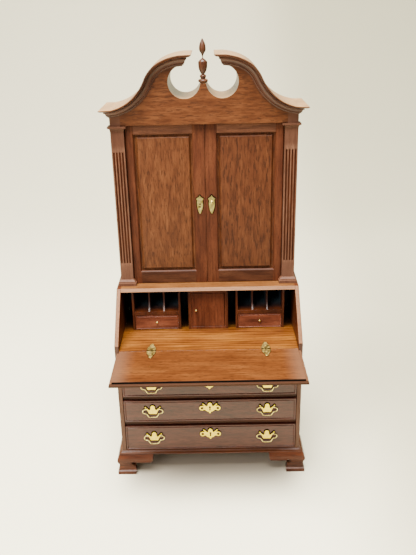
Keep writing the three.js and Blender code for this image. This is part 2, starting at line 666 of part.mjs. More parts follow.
function doorFrame() {
  const plan = doorPlan(DOOR.inner, DOOR.outer, DOOR.front, DOOR.rear, DOOR.rounding);
  const leaf = prism('z', outline(plan), [DOOR.bottom, DOOR.top]);
  const opening = facedPanel(DOORWAY.x, DOORWAY.z,
    [[DOOR.rear + 1, 0], [DOOR.front + 0.7, 0], [DOOR.front + 0.2, -0.35], [DOOR.front - 0.2, -0.6]]);
  const pin = bar('z', DOOR.pinRadius, [DOOR.bottom - 1, DOOR.top + 1],
    [DOOR.pivotX, DOOR_AXIS_Y]);
  return join(cut(leaf, opening), stubs(pin));
}

// The ends of a pin that stand out above and below a door.
function stubs(pin) {
  const middle = board([0, FAR], [0, FAR], [DOOR.bottom + 1, DOOR.top - 1]);
  return cut(pin, middle);
}

// Shield-shaped lock plate with small ears.
const SHIELD = [
  [0, 4.4], [0.4, 3.8], [0.9, 3.35], [1.7, 2.8], [1.3, 2.4], [1.25, 1.9], [1.42, 0.6],
  [1.35, -0.6], [1.1, -1.7], [0.8, -2.8], [0.42, -3.8], [0, -4.4],
];

function lockPlate(pierced) {
  const plate = prism('y', outline(bothSides(SHIELD)), [-0.32, -SEAM]);
  if (!pierced) {
    return plate;
  }
  const eye = bar('y', 0.32, [-1, 1], [0, 0.15], 3);
  const slot = bar('y', 0.32, [-1, 1], [0, -1.05], 3);
  return cut(plate, eye, slot);
}

const rightFrame = doorFrame();
const rightPanel = facedPanel(DOORWAY.x, DOORWAY.z, PANEL_LEVELS);
for (const [name, side] of SIDES) {
  addPart(cabinet, `door_frame_${name}`, 'frame', side > 0 ? rightFrame : mirrorX(rightFrame));
  addPart(cabinet, `door_panel_${name}`, 'panel', side > 0 ? rightPanel : mirrorX(rightPanel));
  const plate = addPart(cabinet, `door_plate_${name}`, 'brass', lockPlate(side < 0));
  plate.position.set(side * DOOR_PLATE.x, DOOR.front, DOOR_PLATE.z);
}
const doorKnob = addPart(cabinet, 'door_knob', 'brass',
  turned([[0, 0], [0.4, 0], [0.4, 0.4], [0.75, 0.7], [0.7, 1.05], [0.35, 1.3], [0, 1.35]], 12, true));
doorKnob.position.set(DOOR_PLATE.x, DOOR.front - 0.34, DOOR_PLATE.z + 1.2);

// Pediment: a deep bonnet sawn to a swan-neck outline, with crown mouldings planted on it ----------

const scrollCurves = SCROLL_TOP.map((points) => (
  new THREE.CubicBezierCurve(...points.map(([x, z]) => new THREE.Vector2(x, z)))
));

// Points and tangents along the top of the right scroll between two x values.
function scrollTop(fromX, toX, steps) {
  const found = [];
  for (const curve of scrollCurves) {
    for (let i = 0; i <= steps; i++) {
      const point = curve.getPoint(i / steps);
      const previous = found[found.length - 1];
      const fresh = !previous || point.x > previous.point.x + 0.5;
      if (point.x > fromX + 0.5 && point.x < toX - 0.5 && fresh) {
        found.push({ point, tangent: curve.getTangent(i / steps) });
      }
    }
  }
  return found;
}

function scrollHeight(x) {
  const curve = x < SCROLL_TOP[1][0][0] ? scrollCurves[0] : scrollCurves[1];
  let [low, high] = [0, 1];
  for (let i = 0; i < 30; i++) {
    const middle = (low + high) / 2;
    if (curve.getPoint(middle).x < x) {
      low = middle;
    } else {
      high = middle;
    }
  }
  return curve.getPoint(low).y;
}

function bonnet() {
  const { x, z, radius } = SCROLL_EYE;
  const neck = (Math.asin((z - NECK_TOP) / radius) * 180) / Math.PI;
  const top = (Math.acos((SCROLL_END_X - x) / radius) * 180) / Math.PI;
  const eye = ringPoints(x, z, radius, 180 + neck, 360 + top, 26);
  const crest = scrollTop(SCROLL_END_X, CASE_HALF, 11).map(({ point }) => [point.x, point.y]);
  const half = [
    ...eye, [SCROLL_END_X, scrollHeight(SCROLL_END_X)], ...crest,
    [CASE_HALF, scrollHeight(CASE_HALF)], [CASE_HALF, CASE_CEILING[0]],
  ];
  const body = prism('y', outline(bothSides(half)), [FACE, BONNET_REAR]);
  const underside = board([-FAR, FAR], [FRAME_REAR + SEAM, FAR], [0, CASE_CEILING[1] + SEAM]);
  const corners = SIDES.map(([, side]) => (
    board(onSide(side, PILASTER.friezeInner - SEAM, FAR), [0, FRAME_REAR + SEAM],
      [0, PILASTER.top + SEAM])
  ));
  const roof = outline(bothSides(BONNET_HOLLOW));
  const hollow = prism('y', roof, [FRAME_REAR + 1, BONNET_REAR - 2]);
  const bores = SIDES.map(([, side]) => (
    bar('z', DOOR_BORE, [DOOR.bottom, DOOR.top + PIN_SOCKET], [side * DOOR.pivotX, DOOR_AXIS_Y])
  ));
  return cut(body, underside, ...corners, hollow, ...bores);
}

addPart(cabinet, 'bonnet', 'panel', bonnet());

// Crown section as [drop below the top edge, projection from the face].
const CROWN_SECTION = [
  [0, 0], [0, 1], [0.1, 1], [0.17, 0.8], [0.24, 0.55], [0.4, 0.42], [0.6, 0.32], [0.78, 0.24],
  [0.86, 0.24], [0.88, 0.1], [1, 0.07], [1, 0],
].map(([drop, part]) => [drop, SEAM + part * (CROWN_PROJECTION - SEAM)]);
const CROWN_HEIGHT = { inner: 4.9, middle: 4.3, outer: 3.5 };

function crownHeight(x) {
  const { inner, middle, outer } = CROWN_HEIGHT;
  const bend = SCROLL_TOP[1][0][0];
  if (x < bend) {
    return inner + ((middle - inner) * (x - SCROLL_END_X)) / (bend - SCROLL_END_X);
  }
  return middle + ((outer - middle) * (x - bend)) / (CASE_HALF - bend);
}

function crown(side) {
  const corner = (faceX, direction, y) => {
    const top = scrollHeight(faceX);
    return CROWN_SECTION.map(([drop, out]) => [
      side * (faceX + direction * out), y ?? FACE - out, top - drop * crownHeight(faceX),
    ]);
  };
  const along = scrollTop(SCROLL_END_X, CASE_HALF, 11).map(({ point, tangent }) => (
    CROWN_SECTION.map(([drop, out]) => {
      const fall = drop * crownHeight(point.x);
      return [side * (point.x + fall * tangent.y), FACE - out, point.y - fall * tangent.x];
    })
  ));
  const rings = [
    corner(SCROLL_END_X, -1, BONNET_REAR), corner(SCROLL_END_X, -1), ...along,
    corner(CASE_HALF, 1), corner(CASE_HALF, 1, BONNET_REAR),
  ];
  return loft(rings, CROWN_SECTION);
}

for (const [name, side] of SIDES) {
  addPart(cabinet, `crown_${name}`, 'frame', crown(side));
}

const FINIAL = [
  [0, 0], [1.2, 0], [1.3, 0.15], [2.0, 0.6], [2.2, 1.1], [1.9, 1.6], [1.0, 1.9], [1.15, 2.3],
  [1.45, 3.0], [1.2, 3.5], [0.7, 3.8], [0.95, 4.25], [1.5, 5.2], [1.85, 6.4], [1.98, 7.6], [2.0, 9.05],
  [1.8, 9.2], [1.2, 9.9], [0.5, 10.4], [0.22, 10.7], [0.28, 11.5], [0.7, 12.5], [1.28, 13.4],
  [1.5, 14.4], [1.3, 16.1], [0.8, 17.4], [0.33, 18.35], [0, 18.8],
];
const finial = addPart(cabinet, 'finial', 'frame', turned(FINIAL, 16));
finial.position.set(0, FACE + 1.9, NECK_TOP + SEAM);

export default cabinet;
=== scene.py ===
# Looks of the miniature secretary desk with bookcase: lacquered wood and brass round the CAD frame.
# Metres. +X is the viewer's right, -Y the front and +Z up.
import math

import bmesh
import bpy
from mathutils import Matrix, Vector


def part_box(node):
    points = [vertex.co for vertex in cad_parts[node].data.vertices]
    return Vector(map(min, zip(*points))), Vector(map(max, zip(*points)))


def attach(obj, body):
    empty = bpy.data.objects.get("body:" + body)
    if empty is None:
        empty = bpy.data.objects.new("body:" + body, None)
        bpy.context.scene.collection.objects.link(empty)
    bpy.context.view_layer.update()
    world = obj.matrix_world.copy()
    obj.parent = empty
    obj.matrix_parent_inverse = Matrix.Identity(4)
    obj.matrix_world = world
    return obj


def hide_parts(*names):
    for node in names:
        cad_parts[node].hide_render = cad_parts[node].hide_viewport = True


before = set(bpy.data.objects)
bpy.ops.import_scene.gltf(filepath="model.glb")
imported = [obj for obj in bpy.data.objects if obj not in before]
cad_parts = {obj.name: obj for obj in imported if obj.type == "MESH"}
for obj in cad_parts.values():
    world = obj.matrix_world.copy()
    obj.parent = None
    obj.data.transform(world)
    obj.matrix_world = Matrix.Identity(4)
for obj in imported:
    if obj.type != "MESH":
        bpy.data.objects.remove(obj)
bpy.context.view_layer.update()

MM = 0.001
FRONT_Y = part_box("divider_above_lower")[0].y  # the desk's front plane, where the drawers' fronts lie
LEVEL = 0.9  # heights below are measured from this many millimetres above the floor
SIDES = (("left", -1), ("right", 1))


def y_at(y):
    return FRONT_Y + y * MM


def z_at(z):
    return (z + LEVEL) * MM


def at(x, y, z):
    """A point in the row frame, from millimetres right of the middle, behind the front plane and up."""
    return Vector((x * MM, y_at(y), z_at(z)))


# Camera ---------------------------------------------------------------------------------------

CAMERA_PLACE = at(2.88, -277.64, 220.56)
CAMERA_PITCH = math.radians(22.502)
CAMERA_YAW = math.radians(0.497)
CAMERA_ROLL = math.radians(1.27)
CAMERA_LENS = 43.21
CAMERA_SENSOR = 36
CAMERA_CLIP = (0.005, 20)


def add_camera():
    data = bpy.data.cameras.new("camera")
    data.lens = CAMERA_LENS
    data.sensor_width = CAMERA_SENSOR
    data.clip_start, data.clip_end = CAMERA_CLIP
    camera = bpy.data.objects.new("camera", data)
    bpy.context.scene.collection.objects.link(camera)
    turn = Matrix.Rotation(CAMERA_YAW, 4, "Z")
    tip = Matrix.Rotation(math.radians(90) - CAMERA_PITCH, 4, "X")
    roll = Matrix.Rotation(-CAMERA_ROLL, 4, "Z")
    camera.matrix_world = Matrix.Translation(CAMERA_PLACE) @ turn @ tip @ roll
    bpy.context.scene.camera = camera


# Floor, backdrop and light ----------------------------------------------------------------------

def add_backdrop(material):
    """A pale sheet that lies flat and sweeps up behind the object."""
    half, near, far, height, radius, steps = 1.6, -1.2, 1.0, 1.6, 0.6, 16
    profile = [(near, 0.0), (far - radius, 0.0)]
    for i in range(1, steps + 1):
        angle = math.pi / 2 * i / steps
        profile.append((far - radius + radius * math.sin(angle), radius - radius * math.cos(angle)))
    profile.append((far, height))
    mesh = bpy.data.meshes.new("backdrop")
    vertices = [(x, y, z) for y, z in profile for x in (-half, half)]
    faces = [(2 * i, 2 * i + 1, 2 * i + 3, 2 * i + 2) for i in range(len(profile) - 1)]
    mesh.from_pydata(vertices, [], faces)
    mesh.polygons.foreach_set("use_smooth", [True] * len(mesh.polygons))
    backdrop = bpy.data.objects.new("backdrop", mesh)
    bpy.context.scene.collection.objects.link(backdrop)
    mesh.materials.append(material)


WORLD_COLOUR, WORLD_STRENGTH = (1.0, 0.985, 0.95), 0.3
LIGHT_TARGET = (0, 0, 0.1)
LIGHTS = (  # name, place, size, watts and colour
    ("overhead", (-0.08, -0.19, 0.8), (0.55, 0.45), 37.0, (1, 0.975, 0.93)),
    ("front_fill", (-0.45, -0.75, 0.55), (0.5, 0.5), 7.0, (1, 0.96, 0.9)),
)


def add_area_light(name, place, size, power, colour):
    data = bpy.data.lights.new(name, "AREA")
    data.shape = "RECTANGLE"
    data.size, data.size_y = size
    data.energy = power
    data.color = colour
    light = bpy.data.objects.new(name, data)
    bpy.context.scene.collection.objects.link(light)
    direction = Vector(LIGHT_TARGET) - Vector(place)
    light.matrix_world = Matrix.Translation(place) @ direction.to_track_quat("-Z", "Y").to_matrix().to_4x4()


def add_lights():
    world = bpy.data.worlds.new("studio")
    bpy.context.scene.world = world
    world.use_nodes = True
    background = world.node_tree.nodes["Background"]
    background.inputs["Color"].default_value = (*WORLD_COLOUR, 1)
    background.inputs["Strength"].default_value = WORLD_STRENGTH
    for light in LIGHTS:
        add_area_light(*light)


# Materials --------------------------------------------------------------------------------------

GRAIN_TURNS = {"x": (0, 0, 0), "z": (0, math.pi / 2, 0), "y": (0, 0, math.pi / 2)}


def new_material(name):
    material = bpy.data.materials.new(name)
    material.use_nodes = True
    nodes = material.node_tree.nodes
    return material, nodes, material.node_tree.links, nodes["Principled BSDF"]


def ramp(nodes, stops):
    node = nodes.new("ShaderNodeValToRGB")
    elements = node.color_ramp.elements
    for element, (place, colour) in zip(elements, (stops[0], stops[-1])):
        element.position = place
        element.color = (*colour, 1)
    for place, colour in stops[1:-1]:
        element = elements.new(place)
        element.color = (*colour, 1)
    return node


def mix(nodes, links, blend, factor, first, second):
    node = nodes.new("ShaderNodeMix")
    node.data_type = "RGBA"
    node.blend_type = blend
    if hasattr(factor, "node"):
        links.new(factor, node.inputs[0])
    else:
        node.inputs[0].default_value = factor
    for value, index in ((first, 6), (second, 7)):
        if hasattr(value, "node"):
            links.new(value, node.inputs[index])
        else:
            node.inputs[index].default_value = (*value, 1)
    return node.outputs[2]


def band(nodes, links, vector, axis, low, high, least=0.0):
    """A smooth rise from least at low to 1 at high along one axis of a vector, in metres."""
    split = nodes.new("ShaderNodeSeparateXYZ")
    links.new(vector, split.inputs["Vector"])
    value = split.outputs[axis[-1]]
    if axis.startswith("abs"):
        positive = nodes.new("ShaderNodeMath")
        positive.operation = "ABSOLUTE"
        links.new(value, positive.inputs[0])
        value = positive.outputs[0]
    rise = nodes.new("ShaderNodeMapRange")
    rise.interpolation_type = "SMOOTHSTEP"
    rise.inputs["From Min"].default_value = low
    rise.inputs["From Max"].default_value = high
    rise.inputs["To Min"].default_value = least
    links.new(value, rise.inputs["Value"])
    return rise.outputs["Result"]


def noise(nodes, links, vector, scale, stretch, detail, roughness=0.55, shift=(0, 0, 0)):
    """Noise whose grains are stretch times longer along X than across it."""
    mapping = nodes.new("ShaderNodeMapping")
    mapping.inputs["Scale"].default_value = (scale / stretch, scale, scale)
    mapping.inputs["Location"].default_value = shift
    links.new(vector, mapping.inputs["Vector"])
    node = nodes.new("ShaderNodeTexNoise")
    node.inputs["Scale"].default_value = 1
    node.inputs["Detail"].default_value = detail
    node.inputs["Roughness"].default_value = roughness
    links.new(mapping.outputs["Vector"], node.inputs["Vector"])
    return node.outputs["Fac"]


def spread(nodes, links, value, low, high):
    """A value from 0 to 1 carried on to low to high."""
    node = nodes.new("ShaderNodeMapRange")
    node.inputs["To Min"].default_value = low
    node.inputs["To Max"].default_value = high
    links.new(value, node.inputs["Value"])
    return node.outputs["Result"]


def relief(nodes, links, shader, height, strength, depth):
    """Bumps in the shader's surface."""
    bump = nodes.new("ShaderNodeBump")
    bump.inputs["Strength"].default_value = strength
    bump.inputs["Distance"].default_value = depth
    links.new(height, bump.inputs["Height"])
    links.new(bump.outputs["Normal"], shader.inputs["Normal"])


def both(nodes, links, first, second):
    """The product of two masks."""
    product = nodes.new("ShaderNodeMath")
    product.operation = "MULTIPLY"
    links.new(first, product.inputs[0])
    links.new(second, product.inputs[1])
    return product.outputs[0]


def inside(nodes, links, vector, axis, low, high):
    """A mask that is 1 between two levels along one axis and 0 beyond them."""
    sharp = 0.05 * MM
    return both(nodes, links, band(nodes, links, vector, axis, low - sharp, low + sharp),
                band(nodes, links, vector, axis, high + sharp, high - sharp))


def turned_to(nodes, links, normal, direction, low, high, amount):
    """A mask that rises to amount where a face's normal turns towards a direction."""
    product = nodes.new("ShaderNodeVectorMath")
    product.operation = "DOT_PRODUCT"
    product.inputs[1].default_value = direction
    links.new(normal, product.inputs[0])
    rise = nodes.new("ShaderNodeMapRange")
    rise.inputs["From Min"].default_value = low
    rise.inputs["From Max"].default_value = high
    rise.inputs["To Max"].default_value = amount
    links.new(product.outputs["Value"], rise.inputs["Value"])
    return rise.outputs["Result"]


def growth_rings(nodes, links, along, scale, swirl, shift):
    """Dark lines of yearly growth, drawn out along the grain."""
    stretched = nodes.new("ShaderNodeMapping")
    stretched.inputs["Scale"].default_value = (swirl, 1, 1)
    stretched.inputs["Location"].default_value = (shift * RING_SHIFT[0], shift * RING_SHIFT[1], 0)
    links.new(along, stretched.inputs["Vector"])
    wave = nodes.new("ShaderNodeTexWave")
    wave.bands_direction = "Y"
    wave.inputs["Scale"].default_value = scale
    for name, value in RING_NOISE.items():
        wave.inputs[name].default_value = value
    links.new(stretched.outputs["Vector"], wave.inputs["Vector"])
    lines = ramp(nodes, RING_STOPS)
    links.new(wave.outputs["Fac"], lines.inputs["Fac"])
    return lines.outputs["Color"]


def rail_mask(nodes, links, place):
    """A mask that is 1 on a door frame's top and bottom rails, between its stiles."""
    (x0, x1), (z0, z1) = DOORWAY
    between = inside(nodes, links, place, "absX", x0 * MM, x1 * MM)
    upright = inside(nodes, links, place, "Z", z_at(z0), z_at(z1))
    beyond = mix(nodes, links, "MIX", upright, (1, 1, 1), (0, 0, 0))
    return both(nodes, links, beyond, between)


def tinted_rails(nodes, links, place, crossing, colour):
    """The colour of a door frame, with its rails tinted apart from its stiles and painted light on its top
    rail.
    """
    top = z_at(DOORWAY[1][1])
    above = band(nodes, links, place, "Z", top - MM, top)
    tint = mix(nodes, links, "MIX", above, RAIL_TINT, TOP_RAIL_PAINTED_LIGHT)
    return mix(nodes, links, "MIX", crossing, colour, mix(nodes, links, "MULTIPLY", 1.0, colour, tint))


# Each noise of the wood: its stretch (given to wood() for the streaks), its detail and its roughness
FIGURE_SCALE, FIGURE_NOISE = 140, (3.5, 3, 0.5)
STREAK_SCALE, STREAK_NOISE, STREAK_AMOUNT = 1100, (5, 0.65), 0.75
PORE_NOISE, PORE_SHADE = (7, 2, 0.5), 0.35
RING_NOISE = {"Distortion": 7, "Detail": 2, "Detail Scale": 0.6}
RING_SHIFT = (0.01, 0.013)  # how far wood()'s shift moves the rings
TONE_STOPS = (0.3, 0.5, 0.72)
STREAK_STOPS = ((0.36, (0.5, 0.44, 0.42)), (0.52, (0.95, 0.94, 0.93)), (0.66, (1.22, 1.22, 1.2)))
PORE_STOPS = ((0.36, (0, 0, 0)), (0.44, (1, 1, 1)))
RING_STOPS = ((0.02, (0.42, 0.34, 0.3)), (0.25, (1, 1, 1)))
TURNED_STREAKS = 0.6  # how far the streaks show in the tints of faces turned one way
ROUGHNESS_SPREAD = (-0.07, 0.1)
WOOD_RELIEF = (0.25, 0.08 * MM)
COAT_ROUGHNESS, COAT_IOR = 0.22, 1.5


def wood(name, grain, dark, middle, light, fleck=0.4, roughness=0.36, specular=0.4, coat=0.1, shift=0.0,
         tone=1.0, source="Object", contrast=1.0, length=12, pore=3600, rings=0.2, ring_scale=220,
         swirl=0.16, shades=(), turned_tints=(), rails=False):
    """Lacquered wood. Its grain runs along one axis: broad figure, fine streaks, rings and open pores.

    shift moves the pattern, so that no two woods look cut from one board, and the source "UV" makes the
    grain follow a mesh's own texture map. contrast is how far dark and light lie from middle.
    tone, ring_scale and pore say how fine the broad figure, the growth rings and the pores are, rings and
    fleck how strong the rings and the pores are, length how drawn out the streaks are, and swirl how fast
    the rings wander along the grain.
    shades are (axis, low, high, colour, amount) steps that turn the wood to a colour on low's side.
    The tints for faces turned towards a direction are (direction, low, high, colour, amount); most of them
    are painted light and shade.
    rails is for a door frame, whose cross rails have their grain running across.
    """
    material, nodes, links, shader = new_material(name)
    coordinates = nodes.new("ShaderNodeTexCoord")
    place, normal = coordinates.outputs["Object"], coordinates.outputs["Normal"]
    turn = nodes.new("ShaderNodeMapping")
    turn.inputs["Rotation"].default_value = GRAIN_TURNS[grain]
    links.new(coordinates.outputs[source], turn.inputs["Vector"])
    along = turn.outputs["Vector"]
    if rails:
        crossing = rail_mask(nodes, links, place)
        along = mix(nodes, links, "MIX", crossing, along, place)

    figure = noise(nodes, links, along, FIGURE_SCALE * tone, *FIGURE_NOISE, (shift, shift, 0))
    streak = noise(nodes, links, along, STREAK_SCALE, length, *STREAK_NOISE, (shift, 2 * shift, 0))
    pores = noise(nodes, links, along, pore, *PORE_NOISE, (0, shift, shift))
    dark, light = (tuple(m + contrast * (c - m) for c, m in zip(tint, middle)) for tint in (dark, light))
    base = ramp(nodes, list(zip(TONE_STOPS, (dark, middle, light))))
    links.new(figure, base.inputs["Fac"])
    streaks = ramp(nodes, STREAK_STOPS)
    links.new(streak, streaks.inputs["Fac"])
    open_pores = ramp(nodes, PORE_STOPS)
    links.new(pores, open_pores.inputs["Fac"])
    streaked = mix(nodes, links, "MULTIPLY", STREAK_AMOUNT, base.outputs["Color"], streaks.outputs["Color"])
    in_pores = tuple(c * PORE_SHADE for c in dark)
    pored = mix(nodes, links, "MIX", open_pores.outputs["Color"], in_pores, streaked)
    colour = mix(nodes, links, "MIX", fleck, streaked, pored)
    colour = mix(nodes, links, "MULTIPLY", rings, colour,
                 growth_rings(nodes, links, along, ring_scale, swirl, shift))
    if rails:
        colour = tinted_rails(nodes, links, place, crossing, colour)
    for axis, low, high, shade, amount in shades:
        beyond = band(nodes, links, place, axis, low, high, 1 - amount)
        colour = mix(nodes, links, "MIX", beyond, shade, colour)
    # faces turned one way take a tint, mostly painted light and shade
    for direction, low, high, shade, amount in turned_tints:
        toward = turned_to(nodes, links, normal, direction, low, high, amount)
        turned_colour = mix(nodes, links, "MULTIPLY", TURNED_STREAKS, shade, streaks.outputs["Color"])
        colour = mix(nodes, links, "MIX", toward, colour, turned_colour)
    links.new(colour, shader.inputs["Base Color"])

    less, more = ROUGHNESS_SPREAD
    links.new(spread(nodes, links, streak, roughness + less, roughness + more), shader.inputs["Roughness"])
    height = mix(nodes, links, "MULTIPLY", 1.0, open_pores.outputs["Color"], streaks.outputs["Color"])
    relief(nodes, links, shader, height, *WOOD_RELIEF)
    shader.inputs["Specular IOR Level"].default_value = specular
    shader.inputs["Coat Weight"].default_value = coat
    shader.inputs["Coat Roughness"].default_value = COAT_ROUGHNESS
    shader.inputs["Coat IOR"].default_value = COAT_IOR
    return material


TARNISH_NOISE, SCRATCH_NOISE = (700, 1, 3), (5000, 6, 2)  # scale per metre, stretch and detail
TARNISH_STOPS, TARNISH_ROUGHNESS = (0.35, 0.65), 0.1
BRASS_RELIEF = (0.1, 0.04 * MM)


def brass(name, dull, bright, roughness=0.32):
    """Polished brass with soft tarnish and fine scratches."""
    material, nodes, links, shader = new_material(name)
    place = nodes.new("ShaderNodeTexCoord").outputs["Object"]
    tarnish = noise(nodes, links, place, *TARNISH_NOISE)
    scratch = noise(nodes, links, place, *SCRATCH_NOISE)
    tone = ramp(nodes, list(zip(TARNISH_STOPS, (dull, bright))))
    links.new(tarnish, tone.inputs["Fac"])
    links.new(tone.outputs["Color"], shader.inputs["Base Color"])
    shader.inputs["Metallic"].default_value = 1
    low, high = roughness - TARNISH_ROUGHNESS, roughness + TARNISH_ROUGHNESS
    links.new(spread(nodes, links, tarnish, low, high), shader.inputs["Roughness"])
    relief(nodes, links, shader, scratch, *BRASS_RELIEF)
    return material


SHEET_STOPS = ((0.3, (0.93, 0.875, 0.63)), (0.7, (0.95, 0.895, 0.65)))
SHEET_CLOUD = (3, 1, 2)  # scale per metre, stretch and detail
SHEET_ROUGHNESS = 0.9
# Far in front of the desk the sheet is dark, so that the polished fronts don't mirror a pale floor
SHEET_FRONT, SHEET_FRONT_RISE = (0.06, 0.055, 0.05), ("Y", -0.32, -0.12)
# Other tints, painted shade on the sheet, each with the rises along axes, in metres, whose product is its
# mask
SHEET_PAINTED_SHADES = (
    ((0.745, 0.745, 0.715), ("X", 0.04, 0.16)),  # the light falls off to the right
    ((0.72, 0.71, 0.69), ("X", 0.04, 0.11), ("Y", 0.35, 0.05)),  # and once more on the near floor
    # A painted contact shadow below the desk
    ((0.36, 0.325, 0.345), ("absX", 0.050, 0.034), ("Y", -0.038, -0.006), ("Y", 0.06, 0.03)),
)


def paper():
    """Pale matt studio sheet with a trace of unevenness, painted falloff of light and a painted shadow below
    the desk.
    """
    material, nodes, links, shader = new_material("pale_sheet")
    place = nodes.new("ShaderNodeTexCoord").outputs["Object"]
    tone = ramp(nodes, SHEET_STOPS)
    links.new(noise(nodes, links, place, *SHEET_CLOUD), tone.inputs["Fac"])
    nearness = band(nodes, links, place, *SHEET_FRONT_RISE)
    colour = mix(nodes, links, "MIX", nearness, SHEET_FRONT, tone.outputs["Color"])
    for tint, *rises in SHEET_PAINTED_SHADES:
        mask = band(nodes, links, place, *rises[-1])
        for rise in rises[-2::-1]:
            mask = both(nodes, links, band(nodes, links, place, *rise), mask)
        colour = mix(nodes, links, "MULTIPLY", mask, colour, tint)
    links.new(colour, shader.inputs["Base Color"])
    shader.inputs["Roughness"].default_value = SHEET_ROUGHNESS
    return material


add_camera()
add_backdrop(paper())
add_lights()

# Woods: dark, middle and light, in linear light
DARK_RED = ((0.042, 0.00988, 0.00351), (0.078, 0.01976, 0.00675), (0.118, 0.03536, 0.01215))
ORANGE = ((0.0601, 0.0164, 0.00494), (0.101, 0.0318, 0.00956), (0.16, 0.0582, 0.0193))
ORANGE_RIGHT = ((0.0481, 0.0122, 0.0037), (0.0807, 0.0237, 0.0072), (0.128, 0.0434, 0.0146))
GOLDEN = ((0.082, 0.021, 0.0027), (0.143, 0.0446, 0.0052), (0.215, 0.080, 0.0115))
FRAME_RED = ((0.0441, 0.0112, 0.004253), (0.0784, 0.02119, 0.007683), (0.1127, 0.03499, 0.01303))
PILASTER_RED = ((0.0685, 0.0268, 0.0145), (0.125, 0.0536, 0.0294), (0.181, 0.0895, 0.0518))
LID_RED = ((0.0615, 0.0163, 0.00362), (0.101, 0.0307, 0.00668), (0.149, 0.054, 0.0132))
DESKTOP_GOLD = ((0.085, 0.0284, 0.00782), (0.138, 0.0524, 0.0144), (0.2, 0.0856, 0.0259))
PROSPECT_RED = ((0.052, 0.0128, 0.0050), (0.094, 0.0245, 0.0095), (0.135, 0.039, 0.0155))
FINIAL_BROWN = ((0.030, 0.0095, 0.0040), (0.056, 0.0185, 0.0078), (0.088, 0.032, 0.0135))
GREYISH = ((0.036, 0.00834, 0.00448), (0.062, 0.0159, 0.00918), (0.09, 0.0254, 0.0157))
# The rails between the drawers: a dark wood, darkened further as painted shade from the drawers above; the
# painted shade in the pilasters' flutes takes it too
RAIL = ((0.018, 0.0042, 0.0014), (0.034, 0.008, 0.0024), (0.052, 0.013, 0.004))
SMALL_RED = ((0.0725, 0.0175, 0.008), (0.1313, 0.035, 0.0155), (0.1938, 0.0616, 0.02875))
CROWN_BROWN = ((0.0399, 0.01202, 0.00513), (0.0779, 0.02508, 0.01026), (0.1216, 0.04389, 0.01852))
INNER = ((0.030, 0.0068, 0.002), (0.062, 0.0145, 0.004), (0.092, 0.024, 0.0068))
# SHADE is near black, for painted shade: along the lid's step and on the writing board behind the gallery
SHADE = (0.0016, 0.0011, 0.0009)
PIGEONHOLE_SHADE = (0.036, 0.062, 0.078)  # painted shade, bluish, deep in the pigeonholes

BRASS = brass("brass", (0.55, 0.41, 0.030), (0.71, 0.55, 0.045))
PALE_BRASS = brass("pale_brass", (0.50, 0.39, 0.10), (0.92, 0.78, 0.27))
# The hinges' brass is mottled with tarnish, and its brightest patches are painted highlights
HINGE_BRASS = brass("hinge_brass", (0.36, 0.24, 0.05), (0.97, 0.74, 0.24), 0.43)
# Near black, for painted shadows: the rims round brass plates and hinge leaves, the line behind each bail,
# and the hinges' barrels
PAINTED_SHADOW = wood("painted_shadow", "x", (0.003, 0.0016, 0.0006), (0.006, 0.003, 0.001), (0.010, 0.005, 0.0018),
              specular=0.02, coat=0, roughness=0.6)


# Levels in millimetres, behind the desk's front plane
FACE = 25            # front plane of the pilasters and the pediment
DOOR_FRONT = 27.0
LID_STEP = -27.65    # the rebate in the open lid's front lip
GALLERY_FRONT = 22.4

# Steps of shade along an axis, and tints for faces turned one way, many of them painted light and shade:
# wood() says what each number means
LID_SHADES = (
    ("absX", 0.0425, 0.033, (0.135, 0.066, 0.037), 0.6),
    # painted shadow along the step in the lid's lip
    ("Y", y_at(LID_STEP + 0.1), y_at(LID_STEP + 0.2), SHADE, 1.0),
    ("Y", y_at(LID_STEP - 0.15), y_at(LID_STEP - 0.05), (0.040, 0.0155, 0.0068), 1.0),
)
# Painted shade: the gallery's walls darken to the pigeonhole shade towards the back
GALLERY_SHADES = (("Y", y_at(GALLERY_FRONT + 13), y_at(GALLERY_FRONT + 2), PIGEONHOLE_SHADE, 1.0),)
# painted shade on the writing board behind the gallery's front
BOARD_SHADES = (("Y", y_at(GALLERY_FRONT + 6), y_at(GALLERY_FRONT - 3), SHADE, 0.9),)
PILASTER_SHADES = (
    ("Z", z_at(161), z_at(158.5), (0.060, 0.021, 0.0105), 0.65),
    ("Z", z_at(101.5), z_at(103), (0.085, 0.035, 0.020), 0.5),
    ("Z", z_at(170.5), z_at(168.5), (0.112, 0.046, 0.025), 0.5),
)
DOORWAY = ((5.68, 32.35), (98.4, 165.05))  # the opening in each door's frame, across and up
RAIL_TINT = (0.72, 0.86, 1.0)
TOP_RAIL_PAINTED_LIGHT = (1.75, 2.5, 3.5)  # painted light that evens out the shadow that the pediment throws on the top rails

# Tints for faces turned one way: the lighter slanting and upward faces are painted light, the sheen of the
# light from above, the desk back's front takes the painted pigeonhole shade, and FRONT_EDGE greys the sides'
# front edges
SLANT_FACE_LIGHT = ((0, -0.707, 0.707), 0.97, 0.995, (0.185, 0.082, 0.034), 0.9)
TOP_FACE_SHEEN = ((0, 0, 1), 0.55, 0.98, (0.37, 0.195, 0.074), 0.85)
LEDGE_TOP_LIGHT = ((0, 0, 1), 0.5, 0.95, (0.12, 0.046, 0.020), 0.5)
FRONT_EDGE = ((0, -1, 0), 0.9, 0.99, (0.092, 0.050, 0.034), 0.9)
PIGEONHOLE_SHADE_FACE = ((0, -1, 0), 0.9, 0.99, PIGEONHOLE_SHADE, 1.0)

